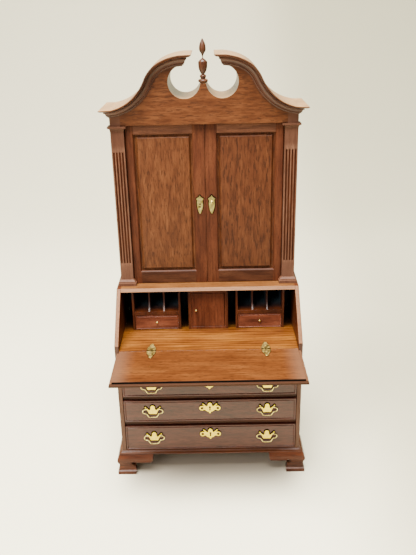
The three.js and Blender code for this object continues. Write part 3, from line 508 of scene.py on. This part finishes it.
WOODS = {
    "upright": wood("wood_upright", "z", *DARK_RED, specular=0.18, coat=0.03, turned_tints=(LEDGE_TOP_LIGHT,)),
    "side": wood("wood_side", "z", *DARK_RED, shift=1.9, specular=0.08, coat=0,
                 turned_tints=(SLANT_FACE_LIGHT, FRONT_EDGE)),
    "frame": wood("wood_frame", "z", *FRAME_RED, shift=0.6, specular=0.15, coat=0, contrast=0.8,
                  roughness=0.5, rails=True),
    "pilaster": wood("wood_pilaster", "z", *PILASTER_RED, shift=17.3, specular=0.15, coat=0, contrast=0.45,
                     roughness=0.5, shades=PILASTER_SHADES, turned_tints=(LEDGE_TOP_LIGHT,)),
    "level": wood("wood_level", "x", *DARK_RED, shift=3.1, specular=0.18, coat=0.03, turned_tints=(LEDGE_TOP_LIGHT,)),
    "rail": wood("wood_rail", "x", *RAIL, shift=7.7, specular=0.1, coat=0),
    "deep": wood("wood_deep", "y", *DARK_RED, shift=5.7),
    "panel": wood("wood_panel", "z", *ORANGE, fleck=0.72, shift=1.3, tone=2.4, specular=0.2, coat=0.03,
                  contrast=0.45, length=7, pore=2100, roughness=0.45),
    "panel_right": wood("wood_panel_right", "z", *ORANGE_RIGHT, fleck=0.72, shift=21.3, tone=2.4,
                        specular=0.2, coat=0.03, contrast=0.5, length=6, pore=1900, roughness=0.45),
    "bonnet": wood("wood_bonnet", "x", *ORANGE, fleck=0.65, shift=8.2, tone=2.4, specular=0.25, contrast=0.4,
                   length=6, pore=2300, rings=0.1, turned_tints=(TOP_FACE_SHEEN,)),
    "writing": wood("wood_writing", "x", *GOLDEN, shift=2.4, specular=0.25, contrast=0.9, length=16,
                    rings=0.85, ring_scale=120, swirl=0.3, shades=BOARD_SHADES),
    "lid": wood("wood_lid", "x", *LID_RED, shift=2.9, specular=0.08, coat=0, roughness=0.42, contrast=0.5,
                length=22, pore=2400, fleck=0.7, rings=0.4, shades=LID_SHADES),
    "desktop": wood("wood_desktop", "x", *DESKTOP_GOLD, shift=9.4, specular=0.07, coat=0, contrast=0.6,
                    turned_tints=(SLANT_FACE_LIGHT,)),
    "drawer": wood("wood_drawer", "x", *GREYISH, shift=4.5, specular=0.3, contrast=0.6, fleck=0.6, pore=2400),
    "small": wood("wood_small", "x", *SMALL_RED, shift=11.3, tone=1.5, specular=0.25, coat=0.02),
    "inner": wood("wood_inner", "z", *INNER, shift=6.6, coat=0, specular=0.3, shades=GALLERY_SHADES),
    "back": wood("wood_back", "z", *INNER, shift=16.6, coat=0, specular=0.2),
    "desk_back": wood("wood_desk_back", "z", *INNER, shift=26.6, coat=0, specular=0.2, turned_tints=(PIGEONHOLE_SHADE_FACE,)),
    "curved": wood("wood_curved", "x", *CROWN_BROWN, shift=12.1, source="UV", specular=0.35,
                   turned_tints=(TOP_FACE_SHEEN,)),
    "prospect": wood("wood_prospect", "z", *PROSPECT_RED, shift=4.1, specular=0.2, coat=0.02, contrast=0.7),
    "turned": wood("wood_turned", "z", *FINIAL_BROWN, shift=14.4, specular=0.22, coat=0.05),
    # painted shade for the dark strips in the pilasters' flutes
    "flute": wood("flute_painted_shade", "z", *RAIL, shift=15.2, specular=0.1, coat=0),
}
# The first start that fits a CAD node's name gives its wood; the rest are "level"
NODE_WOODS = (
    ("bookcase_side", "upright"), ("finial", "upright"), ("prospect", "prospect"), ("desk_side", "side"),
    ("door_frame", "frame"), ("pilaster", "pilaster"), ("door_panel_right", "panel_right"),
    ("door_panel", "panel"), ("divider_above", "rail"), ("gallery_drawer", "small"), ("drawer", "drawer"),
    ("bookcase_shelf", "back"), ("bookcase_back", "back"), ("gallery", "inner"), ("loper", "deep"),
    ("desk_back", "desk_back"), ("bonnet", "bonnet"), ("writing_board", "writing"), ("fall_board", "lid"),
    ("desk_top", "desktop"),
)
BRASS_NODES = ("pull", "escutcheon", "hinge_leaf", "door_plate", "door_knob", "prospect_knob")


def wood_of(node):
    """Which wood a CAD node gets."""
    return WOODS[next((key for start, key in NODE_WOODS if node.startswith(start)), "level")]


METAL_ROUNDING, WOOD_ROUNDING, ROUNDED_ANGLE = 0.06 * MM, 0.14 * MM, math.radians(32)
WELD_DISTANCE = 0.002 * MM


def soften(node_object, width):
    """Merges the faceted solid's split points and rounds its sharp edges."""
    mesh = node_object.data
    mesh.polygons.foreach_set("use_smooth", [True] * len(mesh.polygons))
    weld = node_object.modifiers.new("weld", "WELD")
    weld.merge_threshold = WELD_DISTANCE
    bevel = node_object.modifiers.new("bevel", "BEVEL")
    bevel.width = width
    bevel.segments = 2
    bevel.limit_method = "ANGLE"
    bevel.angle_limit = ROUNDED_ANGLE
    normals = node_object.modifiers.new("normals", "WEIGHTED_NORMAL")
    normals.keep_sharp = False


for name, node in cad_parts.items():
    node.data.materials.clear()
    metal = name.startswith(BRASS_NODES)
    node.data.materials.append(BRASS if metal else wood_of(name))
    soften(node, METAL_ROUNDING if metal else WOOD_ROUNDING)

# Fine pieces ------------------------------------------------------------------------------------


def add_piece(name, body, mesh, material, slot, *nodes):
    """Adds a mesh already in row coordinates as a piece of one body, in place of CAD nodes."""
    for one in material if isinstance(material, tuple) else (material,):
        mesh.materials.append(one)
    piece = bpy.data.objects.new(name, mesh)
    bpy.context.scene.collection.objects.link(piece)
    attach(piece, body)
    if nodes:
        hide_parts(*nodes)


def finished(name, vertices, faces, sharp=32, uvs=None):
    """A closed mesh with outward faces, smooth but for its sharp edges."""
    mesh = bpy.data.meshes.new(name)
    mesh.from_pydata([tuple(v) for v in vertices], [], faces)
    if uvs:
        layer = mesh.uv_layers.new(name="along")
        for loop in mesh.loops:
            layer.data[loop.index].uv = uvs[loop.vertex_index]
    shape = bmesh.new()
    shape.from_mesh(mesh)
    bmesh.ops.recalc_face_normals(shape, faces=shape.faces)
    for edge in shape.edges:
        edge.smooth = not edge.is_manifold or edge.calc_face_angle(0) < math.radians(sharp)
    for face in shape.faces:
        face.smooth = True
    shape.to_mesh(mesh)
    shape.free()
    return mesh


def skin(rings):
    """Faces through rings with equal numbers of points, with flat ends."""
    count = len(rings[0])
    faces = []
    for ring in range(len(rings) - 1):
        for i in range(count):
            j = (i + 1) % count
            low, high = ring * count, (ring + 1) * count
            faces.append((low + i, low + j, high + j, high + i))
    faces.append(tuple(reversed(range(count))))
    faces.append(tuple(range((len(rings) - 1) * count, len(rings) * count)))
    return [point for ring in rings for point in ring], faces


def merged(parts):
    """Several (vertices, faces) lists as one."""
    vertices, faces = [], []
    for more_vertices, more_faces in parts:
        offset = len(vertices)
        vertices += more_vertices
        faces += [tuple(offset + i for i in face) for face in more_faces]
    return vertices, faces


def spline(points, steps, closed=False):
    """A Catmull-Rom curve through points of any dimension."""
    points = [Vector(p) for p in points]
    count = len(points)
    found = []
    for i in range(count if closed else count - 1):
        a, b, c, d = (points[(i + k) % count] if closed else points[min(max(i + k, 0), count - 1)]
                      for k in (-1, 0, 1, 2))
        for step in range(steps):
            t = step / steps
            found.append(0.5 * (2 * b + (c - a) * t + (2 * a - 5 * b + 4 * c - d) * t * t
                                + (3 * b - 3 * c + d - a) * t ** 3))
    return found if closed else found + [points[-1]]


def both_sides(points):
    """An outline on x >= 0 from top to bottom, carried on up its mirror image."""
    return list(points) + [(-p[0], *p[1:]) for p in reversed(points) if abs(p[0]) > 1e-9]


def turned_skin(profile, centre, tip, segments):
    """A turned shape from (radius, height) points. tip maps (a, b, height) to a direction."""
    rings = []
    for radius, height in profile:
        ring = []
        for i in range(segments):
            angle = 2 * math.pi * i / segments
            ring.append(centre + MM * tip(radius * math.cos(angle), radius * math.sin(angle), height))
        rings.append(ring)
    return skin(rings)


def upward(a, b, height):
    return Vector((a, b, height))


def forward(a, b, height):
    return Vector((a, -height, b))


def wire_skin(route, radius, segments=12):
    """A round wire along a route of points."""
    rings = []
    up = Vector((0, 1, 0))
    for i, point in enumerate(route):
        ahead = route[min(i + 1, len(route) - 1)] - route[max(i - 1, 0)]
        ahead.normalize()
        side = ahead.cross(up).normalized()
        other = side.cross(ahead)
        rings.append([point + radius * (math.cos(a) * side + math.sin(a) * other)
                      for a in (2 * math.pi * k / segments for k in range(segments))])
    return skin(rings)


def plate_mesh(name, outer, holes, thickness, bevel, grow=0.0):
    """A flat pierced plate with rounded edges, in its own XY plane, standing up along +Z."""
    curve = bpy.data.curves.new(name, "CURVE")
    curve.dimensions = "2D"
    curve.fill_mode = "BOTH"
    for outline in [outer] + holes:
        line = curve.splines.new("POLY")
        line.points.add(len(outline) - 1)
        for point, (x, y) in zip(line.points, outline):
            point.co = (x, y, 0, 1)
        line.use_cyclic_u = True
    curve.extrude = thickness / 2 - bevel
    curve.bevel_depth = bevel
    curve.bevel_resolution = 2
    curve.offset = grow - bevel
    maker = bpy.data.objects.new(name, curve)
    bpy.context.scene.collection.objects.link(maker)
    bpy.context.view_layer.update()
    mesh = bpy.data.meshes.new_from_object(maker.evaluated_get(bpy.context.evaluated_depsgraph_get()))
    bpy.data.objects.remove(maker)
    bpy.data.curves.remove(curve)
    vertices = [v.co.copy() for v in mesh.vertices]
    faces = [tuple(p.vertices) for p in mesh.polygons]
    bpy.data.meshes.remove(mesh)
    return vertices, faces


def facing(part, place, depth):
    """Plate geometry turned to face -Y, in millimetres, with its middle depth in front of a point."""
    vertices, faces = part
    return [place + MM * Vector((v.x, -depth - v.z, v.y)) for v in vertices], faces


def circle(x, y, radius, steps=16):
    angles = [2 * math.pi * i / steps for i in range(steps)]
    return [(x + radius * math.cos(a), y + radius * math.sin(a)) for a in angles]


def arc(x, y, radius, degrees):
    angles = [math.radians(a) for a in degrees]
    return [(x + radius * math.cos(a), y + radius * math.sin(a)) for a in angles]


def flat_points(points, steps=4, closed=True):
    """A smooth curve through (x, y) points, as (x, y) points."""
    return [(p.x, p.y) for p in spline([(*q, 0) for q in points], steps, closed)]


def toned(name, *parts, sharp=40):
    """One mesh from parts that each take the next of its materials."""
    vertices, faces = merged(parts)
    mesh = finished(name, vertices, faces, sharp)
    mesh.polygons.foreach_set("material_index", [i for i, part in enumerate(parts) for _ in part[1]])
    return mesh


# Pulls, escutcheons and lock plates, in millimetres about the middle of each plate. An outline is its right
# half from top to bottom, as (x, z), and the bail's route is (x, y, z).

PULL_PLATE = [
    (0, 3.65), (0.6, 3.45), (0.98, 2.9), (1.1, 2.2), (1.12, 1.7), (1.45, 1.1), (1.8, 1.0), (2.7, 1.95),
    (3.5, 2.85), (3.85, 2.45), (3.2, 1.5), (2.55, 0.6), (2.1, -0.5), (1.8, -1.2), (0.8, -1.2),
]
PULL_POST, POST_PLACE = [(0, 0), (0.42, 0), (0.42, 0.5), (0.3, 0.72), (0, 0.8)], (3.15, 1.85)
PULL_BAIL = [
    (3.05, -0.35, 1.45), (3.55, -0.45, 1.5), (4.2, -0.5, 1.4), (4.8, -0.55, 0.95), (4.98, -0.6, 0.35),
    (4.75, -0.7, -0.25), (4.15, -0.8, -0.6), (3.4, -0.9, -0.65), (2.85, -1.0, -0.95),
    (2.4, -1.05, -1.75), (2.1, -1.05, -2.3), (1.5, -1.1, -2.55), (0.7, -1.1, -2.6), (0, -1.1, -2.6),
]
BAIL_RADIUS = 0.23
BAIL_SHADOW = {"depth": -0.05, "lift": 0.2, "below": -0.3, "radius": 0.04}  # a dark line behind the bail
EDGE_SHADOW = 0.40  # the dark rim round each brass plate, a painted shadow
EDGE_LIFT = 0.14  # the painted shadow rim shows most along upper edges

# Each drawer's bottom, top and its escutcheon's height above the bottom
DRAWERS = {"lower": (12.1, 26.1, 9.1), "middle": (28.65, 40.8, 7.7), "upper": (43.2, 53.95, 7.0),
           "top": (56.4, 66.15, None)}
PULL_X = 28.1
PLATE_THICKNESS, PLATE_DEPTH, PLATE_BEVEL = 0.34, 0.2, 0.07
RIM_THICKNESS, RIM_DEPTH, RIM_BEVEL = 0.06, 0.045, 0.01


def plate_pair(outline, holes, place):
    """A brass plate and the dark rim behind it, a painted shadow."""
    bright = plate_mesh("plate", outline, holes, PLATE_THICKNESS, PLATE_BEVEL)
    lifted = [(x, y + EDGE_LIFT) for x, y in outline]
    dark = plate_mesh("rim", lifted, [], RIM_THICKNESS, RIM_BEVEL, EDGE_SHADOW)
    return facing(bright, place, PLATE_DEPTH), facing(dark, place, RIM_DEPTH)


def add_pull(name, body, place, node):
    bright, dark = plate_pair(flat_points(both_sides(PULL_PLATE)), [], place)
    route = [place + MM * p for p in spline(both_sides(PULL_BAIL), 6)]
    x, z = POST_PLACE
    posts = [turned_skin(PULL_POST, place + MM * Vector((side * x, 0, z)), forward, 16) for side in (-1, 1)]
    bail = merged([wire_skin(route, BAIL_RADIUS * MM), *posts])
    depth, lift = BAIL_SHADOW["depth"], BAIL_SHADOW["lift"]
    shadow = [p + MM * Vector((0.0, depth - (p.y - place.y) / MM, lift)) for p in route]
    below = place.z + BAIL_SHADOW["below"] * MM
    behind = wire_skin([p for p in shadow if p.z < below], BAIL_SHADOW["radius"] * MM, 8)
    mesh = toned(name, bright, merged([dark, behind]), bail)
    add_piece(name, body, mesh, (BRASS, PAINTED_SHADOW, PALE_BRASS), "brass", node)


ESCUTCHEON_TOP = [
    (0, 3.1), (0.65, 2.85), (1.0, 2.2), (1.1, 1.5), (1.4, 1.15), (1.8, 1.25), (2.6, 2.0), (3.35, 2.65),
    (3.6, 2.35), (3.15, 1.7), (2.85, 1.25),
]
ESCUTCHEON_FOOT = [
    (2.7, -1.0), (2.3, -1.1), (1.6, -1.75), (0.95, -2.05), (0.5, -2.3), (0.4, -2.75), (0, -3.0),
]
LOBE, LOBE_RADIUS, LOBE_HOLE = (3.85, 0.0), 1.35, 0.66
KEYHOLE = (0, 0.45, 0.55)  # place and size


def keyhole(x, z, size):
    """A round eye with a slot below it."""
    eye = arc(x, z, size, range(-60, 241, 25))
    return eye + [(x - 0.6 * size, z - 3.2 * size), (x + 0.6 * size, z - 3.2 * size)]


def add_escutcheon(name, body, place, node):
    x, z = LOBE
    half = ESCUTCHEON_TOP + arc(x, z, LOBE_RADIUS, range(100, -125, -28)) + ESCUTCHEON_FOOT
    holes = [circle(side * x, z, LOBE_HOLE) for side in (-1, 1)] + [keyhole(*KEYHOLE)]
    bright, dark = plate_pair(flat_points(both_sides(half), 3), holes, place)
    add_piece(name, body, toned(name, bright, dark), (BRASS, PAINTED_SHADOW), "brass", node)


for bay, (bottom, top, key) in DRAWERS.items():
    for side_name, side in SIDES:
        node = f"pull_{bay}_{side_name}"
        add_pull(f"fine_{node}", f"drawer_{bay}", at(side * PULL_X, 0, (bottom + top) / 2), node)
    if key:
        node = f"escutcheon_{bay}"
        add_escutcheon(f"fine_{node}", f"drawer_{bay}", at(0, 0, bottom + key), node)

SHIELD = [
    (0, 4.4), (0.4, 3.8), (0.9, 3.35), (1.7, 2.8), (1.3, 2.4), (1.25, 1.9), (1.42, 0.6),
    (1.35, -0.6), (1.1, -1.7), (0.8, -2.8), (0.42, -3.8), (0, -4.4),
]
SHIELD_HOLES = [circle(0, z, 0.42) for z in (0.2, -1.1)]
DOOR_PLATE = (2.8, 131.8)
KNOB_LIFT, KNOB_DEPTH = 1.2, 0.36
DOOR_KNOB = [(0, 0), (0.4, 0), (0.36, 0.35), (0.6, 0.6), (0.74, 0.85), (0.66, 1.12), (0.35, 1.3), (0, 1.35)]

for side_name, side in SIDES:
    place = at(side * DOOR_PLATE[0], DOOR_FRONT, DOOR_PLATE[1])
    holes = SHIELD_HOLES if side < 0 else []  # the right-hand plate carries the knob instead
    bright, dark = plate_pair(flat_points(both_sides(SHIELD), 3), holes, place)
    node = f"door_plate_{side_name}"
    plate = toned(node, bright, dark)
    add_piece(f"fine_{node}", f"door_{side_name}", plate, (PALE_BRASS, PAINTED_SHADOW), "brass", node)
knob_place = at(DOOR_PLATE[0], DOOR_FRONT - KNOB_DEPTH, DOOR_PLATE[1] + KNOB_LIFT)
knob = turned_skin(flat_points(DOOR_KNOB, closed=False), knob_place, forward, 24)
add_piece("fine_door_knob", "door_right", finished("knob", *knob), PALE_BRASS, "brass", "door_knob")

# Rails set back behind the drawers' edges

RAILS = {"lower": (26.4, 28.4), "middle": (41.0, 43.0), "upper": (54.15, 56.15)}  # bottoms and tops
RAIL_FRONT, RAIL_REAR, RAIL_ROUNDING = 1.1, 48.4, 0.25
RAIL_STATIONS = (-42.48, -20, 0, 20, 42.48)
for bay, (z0, z1) in RAILS.items():
    section = [(RAIL_REAR, z0), (RAIL_FRONT + RAIL_ROUNDING, z0), (RAIL_FRONT, z0 + RAIL_ROUNDING),
               (RAIL_FRONT, z1 - RAIL_ROUNDING), (RAIL_FRONT + RAIL_ROUNDING, z1), (RAIL_REAR, z1)]
    rings = [[at(x, y, z) for y, z in section] for x in RAIL_STATIONS]
    add_piece(f"rail_above_{bay}", "case", finished("rail", *skin(rings)), WOODS["rail"], "carcase_wood",
              f"divider_above_{bay}")

# Painted shade: thin dark strips lying in the pilasters' flutes

FLUTES = {"count": 4, "pitch": 1.35, "radius": 0.5, "depth": 0.35, "bottom": 103, "top": 158, "middle": 39.45}
SHADE_STRIP_OUTER, SHADE_STRIP_INNER = 0.505, 0.46  # radii
SHADE_STRIP_ANGLE = math.radians(48)           # half of what the painted shade covers
SHADE_STRIP_LEVELS = (  # heights, and the share of the full angle covered there
    (FLUTES["bottom"] + 0.25, 0.2), (FLUTES["bottom"] + 0.6, 1),
    (FLUTES["top"] - 0.6, 1), (FLUTES["top"] - 0.25, 0.2),
)


def flute_shade_strip(x):
    """A thin dark crescent lying in one flute, as painted shade."""
    centre = FACE - FLUTES["radius"] + FLUTES["depth"]
    rings = []
    for z, share in SHADE_STRIP_LEVELS:
        angles = [SHADE_STRIP_ANGLE * share * (k / 4 - 1) for k in range(9)]
        edges = (SHADE_STRIP_OUTER, angles), (SHADE_STRIP_INNER, angles[::-1])
        rings.append([at(x + radius * math.sin(a), centre + radius * math.cos(a), z)
                      for radius, order in edges for a in order])
    return skin(rings)


for side_name, side in SIDES:
    places = [side * (FLUTES["middle"] + (i - 1.5) * FLUTES["pitch"]) for i in range(FLUTES["count"])]
    shade_strips = finished("shade_strips", *merged([flute_shade_strip(x) for x in places]))
    add_piece(f"flute_shade_strips_{side_name}", "case", shade_strips, WOODS["flute"], "frame_wood")

# Knobs of the small doors and drawers

SMALL_KNOB = [
    (0, 0), (0.3, 0), (0.26, 0.25), (0.42, 0.45), (0.54, 0.65), (0.48, 0.88), (0.25, 1.0), (0, 1.02),
]
PROSPECT_KNOB, DRAWER_KNOB = (-6, 78.775), (25.7, 72.6)


def add_small_knob(name, body, x, z, *nodes):
    knob = turned_skin(flat_points(SMALL_KNOB, closed=False), at(x, GALLERY_FRONT, z), forward, 20)
    add_piece(name, body, finished(name, *knob), PALE_BRASS, "brass", *nodes)


add_small_knob("fine_prospect_knob", "prospect", *PROSPECT_KNOB, "prospect_knob")
for side_name, side in SIDES:
    x, z = DRAWER_KNOB
    add_small_knob(f"small_drawer_knob_{side_name}", f"small_drawer_{side_name}", side * x, z)

# Fielded door panels, each in a groove-like margin

PANEL_LEVELS = [  # depths, and how far in from the frame's opening
    (29.0, 0.02), (28.6, 0.02), (28.6, 0.7), (27.75, 1.45), (27.55, 1.5), (27.48, 1.58), (27.46, 1.75),
]

for side_name, side in SIDES:
    (x0, x1), (z0, z1) = DOORWAY
    rings = []
    for y, i in PANEL_LEVELS:
        corners = (x0 + i, z0 + i), (x1 - i, z0 + i), (x1 - i, z1 - i), (x0 + i, z1 - i)
        rings.append([at(side * x, y, z) for x, z in corners])
    node = f"door_panel_{side_name}"
    panel = finished(node, *skin(rings), sharp=20)
    add_piece(f"fine_{node}", f"door_{side_name}", panel, wood_of(node), "panel_wood", node)

# Finial, as radii and heights

FINIAL_PLACE = (0, 26.9, 187.32)
FINIAL = [
    (0, 0), (1.2, 0), (1.3, 0.15), (2.0, 0.6), (2.2, 1.1), (1.9, 1.6), (1.0, 1.9), (1.15, 2.3),
    (1.45, 3.0), (1.2, 3.5), (0.7, 3.8), (0.95, 4.25), (1.5, 5.2), (1.85, 6.4), (1.98, 7.6), (2.0, 9.05),
    (1.8, 9.2), (1.2, 9.9), (0.5, 10.4), (0.22, 10.7), (0.28, 11.5), (0.7, 12.5), (1.28, 13.4),
    (1.5, 14.4), (1.3, 16.1), (0.8, 17.4), (0.33, 18.35), (0, 18.8),
]
profile = [(max(radius, 0), height) for radius, height in flat_points(FINIAL, closed=False)]
finial = finished("finial", *turned_skin(profile, at(*FINIAL_PLACE), upward, 48))
add_piece("fine_finial", "case", finial, WOODS["turned"], "frame_wood", "finial")

# Crown mouldings that follow the swan-neck scrolls, two Bezier curves (x, z) from the eye to the corner

SCROLLS = [
    ((4.8, 200), (16.5, 199.9), (23, 196), (25.8, 189.8)),
    ((25.8, 189.8), (28.8, 183.2), (35, 176.6), (46.7, 176.6)),
]
SCROLL_END = 9.2
SCROLL_STEPS = 30
CASE_HALF = 42.5
BONNET_REAR = 49.8
CROWN_PROJECTION, CROWN_SKIN = 4.2, 0.02  # the most and the least that the moulding stands out
CROWN_GAP, CORNER_GAP = 0.3, 0.5  # the least spacing of its sections, and the space left at the corner
CROWN_GRAIN, CROWN_GRAIN_SHIFT = 0.0006, 0.1  # the texture's width per point, and its shift from side to side
CROWN_DROP = (4.9, 4.3, 3.5)  # height of the moulding at the eye, at the bend and at the corner
CROWN_SECTION = [  # the drop from the top edge and the projection, as shares of the whole
    (0, 0), (0, 0.97), (0.015, 1), (0.10, 1), (0.115, 0.94), (0.16, 0.90), (0.20, 0.80), (0.24, 0.66),
    (0.26, 0.58), (0.27, 0.50), (0.31, 0.49), (0.35, 0.52), (0.40, 0.51), (0.44, 0.47), (0.455, 0.40),
    (0.50, 0.37), (0.57, 0.33), (0.66, 0.30), (0.75, 0.29), (0.76, 0.20), (0.80, 0.20), (0.84, 0.23),
    (0.88, 0.21), (0.90, 0.09), (1, 0.07), (1, 0),
]


def bezier(points, t):
    a, b, c, d = (Vector(p) for p in points)
    place = a * (1 - t) ** 3 + 3 * b * t * (1 - t) ** 2 + 3 * c * t * t * (1 - t) + d * t ** 3
    slope = 3 * (b - a) * (1 - t) ** 2 + 6 * (c - b) * t * (1 - t) + 3 * (d - c) * t * t
    return place, slope.normalized()


def scroll_height(x):
    """The height of the scrolls' top edge at x, by halving."""
    points = SCROLLS[0] if x < SCROLLS[1][0][0] else SCROLLS[1]
    low, high = 0.0, 1.0
    for _ in range(30):
        middle = (low + high) / 2
        if bezier(points, middle)[0].x < x:
            low = middle
        else:
            high = middle
    return bezier(points, low)[0].y


def crown_drop(x):
    """The moulding's height at x."""
    inner, middle, outer = CROWN_DROP
    bend = SCROLLS[1][0][0]
    if x < bend:
        return inner + (middle - inner) * (x - SCROLL_END) / (bend - SCROLL_END)
    return middle + (outer - middle) * (x - bend) / (CASE_HALF - bend)


def crown_rings(side):
    """The moulding's section from the rear round the eye, along the front and back round the corner."""
    out = [(drop, CROWN_SKIN + part * (CROWN_PROJECTION - CROWN_SKIN)) for drop, part in CROWN_SECTION]

    def corner(face_x, direction, y=None):
        top, drop = scroll_height(face_x), crown_drop(face_x)
        return [at(side * (face_x + direction * o), FACE - o if y is None else y, top - d * drop)
                for d, o in out]

    rings = [corner(SCROLL_END, -1, BONNET_REAR), corner(SCROLL_END, -1)]
    last = SCROLL_END
    for points in SCROLLS:
        for step in range(SCROLL_STEPS + 1):
            place, slope = bezier(points, step / SCROLL_STEPS)
            if last + CROWN_GAP < place.x < CASE_HALF - CORNER_GAP:
                last = place.x
                drop = crown_drop(place.x)
                across, down = drop * slope.y, drop * slope.x
                rings.append([at(side * (place.x + d * across), FACE - o, place.y - d * down)
                              for d, o in out])
    return rings + [corner(CASE_HALF, 1), corner(CASE_HALF, 1, BONNET_REAR)]


for side_name, side in SIDES:
    rings = crown_rings(side)
    lengths = [0.0]
    for first, second in zip(rings, rings[1:]):
        lengths.append(lengths[-1] + (second[1] - first[1]).length)
    uvs = [(length, CROWN_GRAIN * k + side * CROWN_GRAIN_SHIFT)
           for length in lengths for k in range(len(rings[0]))]
    node = f"crown_{side_name}"
    crown = finished(node, *skin(rings), sharp=28, uvs=uvs)
    add_piece(f"fine_{node}", "case", crown, WOODS["curved"], "frame_wood", node)

# Lid hinges

LEAF = [  # half of one leaf, from its tip to the hinge line
    (0, 6.9), (0.65, 6.6), (0.95, 6.0), (0.7, 5.4), (1.05, 4.8), (1.6, 3.6), (1.95, 2.4), (2.1, 1.2),
    (2.05, 0.2),
]
# Each leaf has a dark rim round it, a painted shadow
LEAF_THICKNESS, LEAF_RIM_THICKNESS, LEAF_RIM = 0.32, 0.05, 0.13
HINGE_X, HINGE_Z = 27.1, 69.0
LEAF_DROP = 68.42 - HINGE_Z  # from the pin's middle to the wood
LEAF_HEIGHT, LEAF_RIM_HEIGHT, SCREW_HEIGHT = 0.17, 0.03, 0.33
KNUCKLE_RADIUS, KNUCKLE_ROUNDING, KNUCKLE_INSET, KNUCKLE_DROP = 0.25, 0.06, 0.05, 0.12
KNUCKLES = {"fixed": ((-2.05, -0.76), (0.76, 2.05)), "moving": ((-0.68, 0.68),)}  # their ends along X
SCREW = [(0, 0), (0.34, 0), (0.3, 0.1), (0.15, 0.16), (0, 0.17)]
SCREWS = [(1.2, 1.3), (-1.2, 1.3), (0, 3.0), (0, 6.0)]


def leaf_part(place, direction):
    """One leaf lying flat, pointing to the rear (1) or the front (-1) of the hinge line."""
    outline = both_sides(LEAF)
    bright_vertices, faces = plate_mesh("leaf", outline, [], LEAF_THICKNESS, PLATE_BEVEL)
    dark_vertices, dark_faces = plate_mesh("rim", outline, [], LEAF_RIM_THICKNESS, RIM_BEVEL, LEAF_RIM)

    def laid(vertices, height):
        return [place + MM * Vector((v.x, direction * v.y, LEAF_DROP + height + v.z)) for v in vertices]

    screws = []
    for x, y in SCREWS:
        foot = place + MM * Vector((x, direction * y, LEAF_DROP + SCREW_HEIGHT))
        screws.append(turned_skin(SCREW, foot, upward, 14))
    bright = merged([(laid(bright_vertices, LEAF_HEIGHT), faces), *screws])
    return bright, (laid(dark_vertices, LEAF_RIM_HEIGHT), dark_faces)


def knuckle_part(place, start, end):
    """A short length of the hinge's barrel, along X and a little below the pin's middle."""
    tip, full = KNUCKLE_RADIUS - KNUCKLE_ROUNDING, KNUCKLE_RADIUS
    ends = (start, tip), (start + KNUCKLE_INSET, full), (end - KNUCKLE_INSET, full), (end, tip)
    return skin([[place + MM * Vector((x, y, z - KNUCKLE_DROP)) for y, z in circle(0, 0, r, 20)]
                 for x, r in ends])


for side_name, side in SIDES:
    place = at(side * HINGE_X, 0, HINGE_Z)
    for half, body, direction in (("fixed", "case", 1), ("moving", "fall", -1)):
        bright, dark = leaf_part(place, direction)
        # The barrels take the rims' dark: a painted shade line along the hinge
        dark = merged([dark, *(knuckle_part(place, *ends) for ends in KNUCKLES[half])])
        node = f"hinge_leaf_{half}_{side_name}"
        leaf = toned(node, bright, dark)
        add_piece(f"fine_{node}", body, leaf, (HINGE_BRASS, PAINTED_SHADOW), "brass", node)
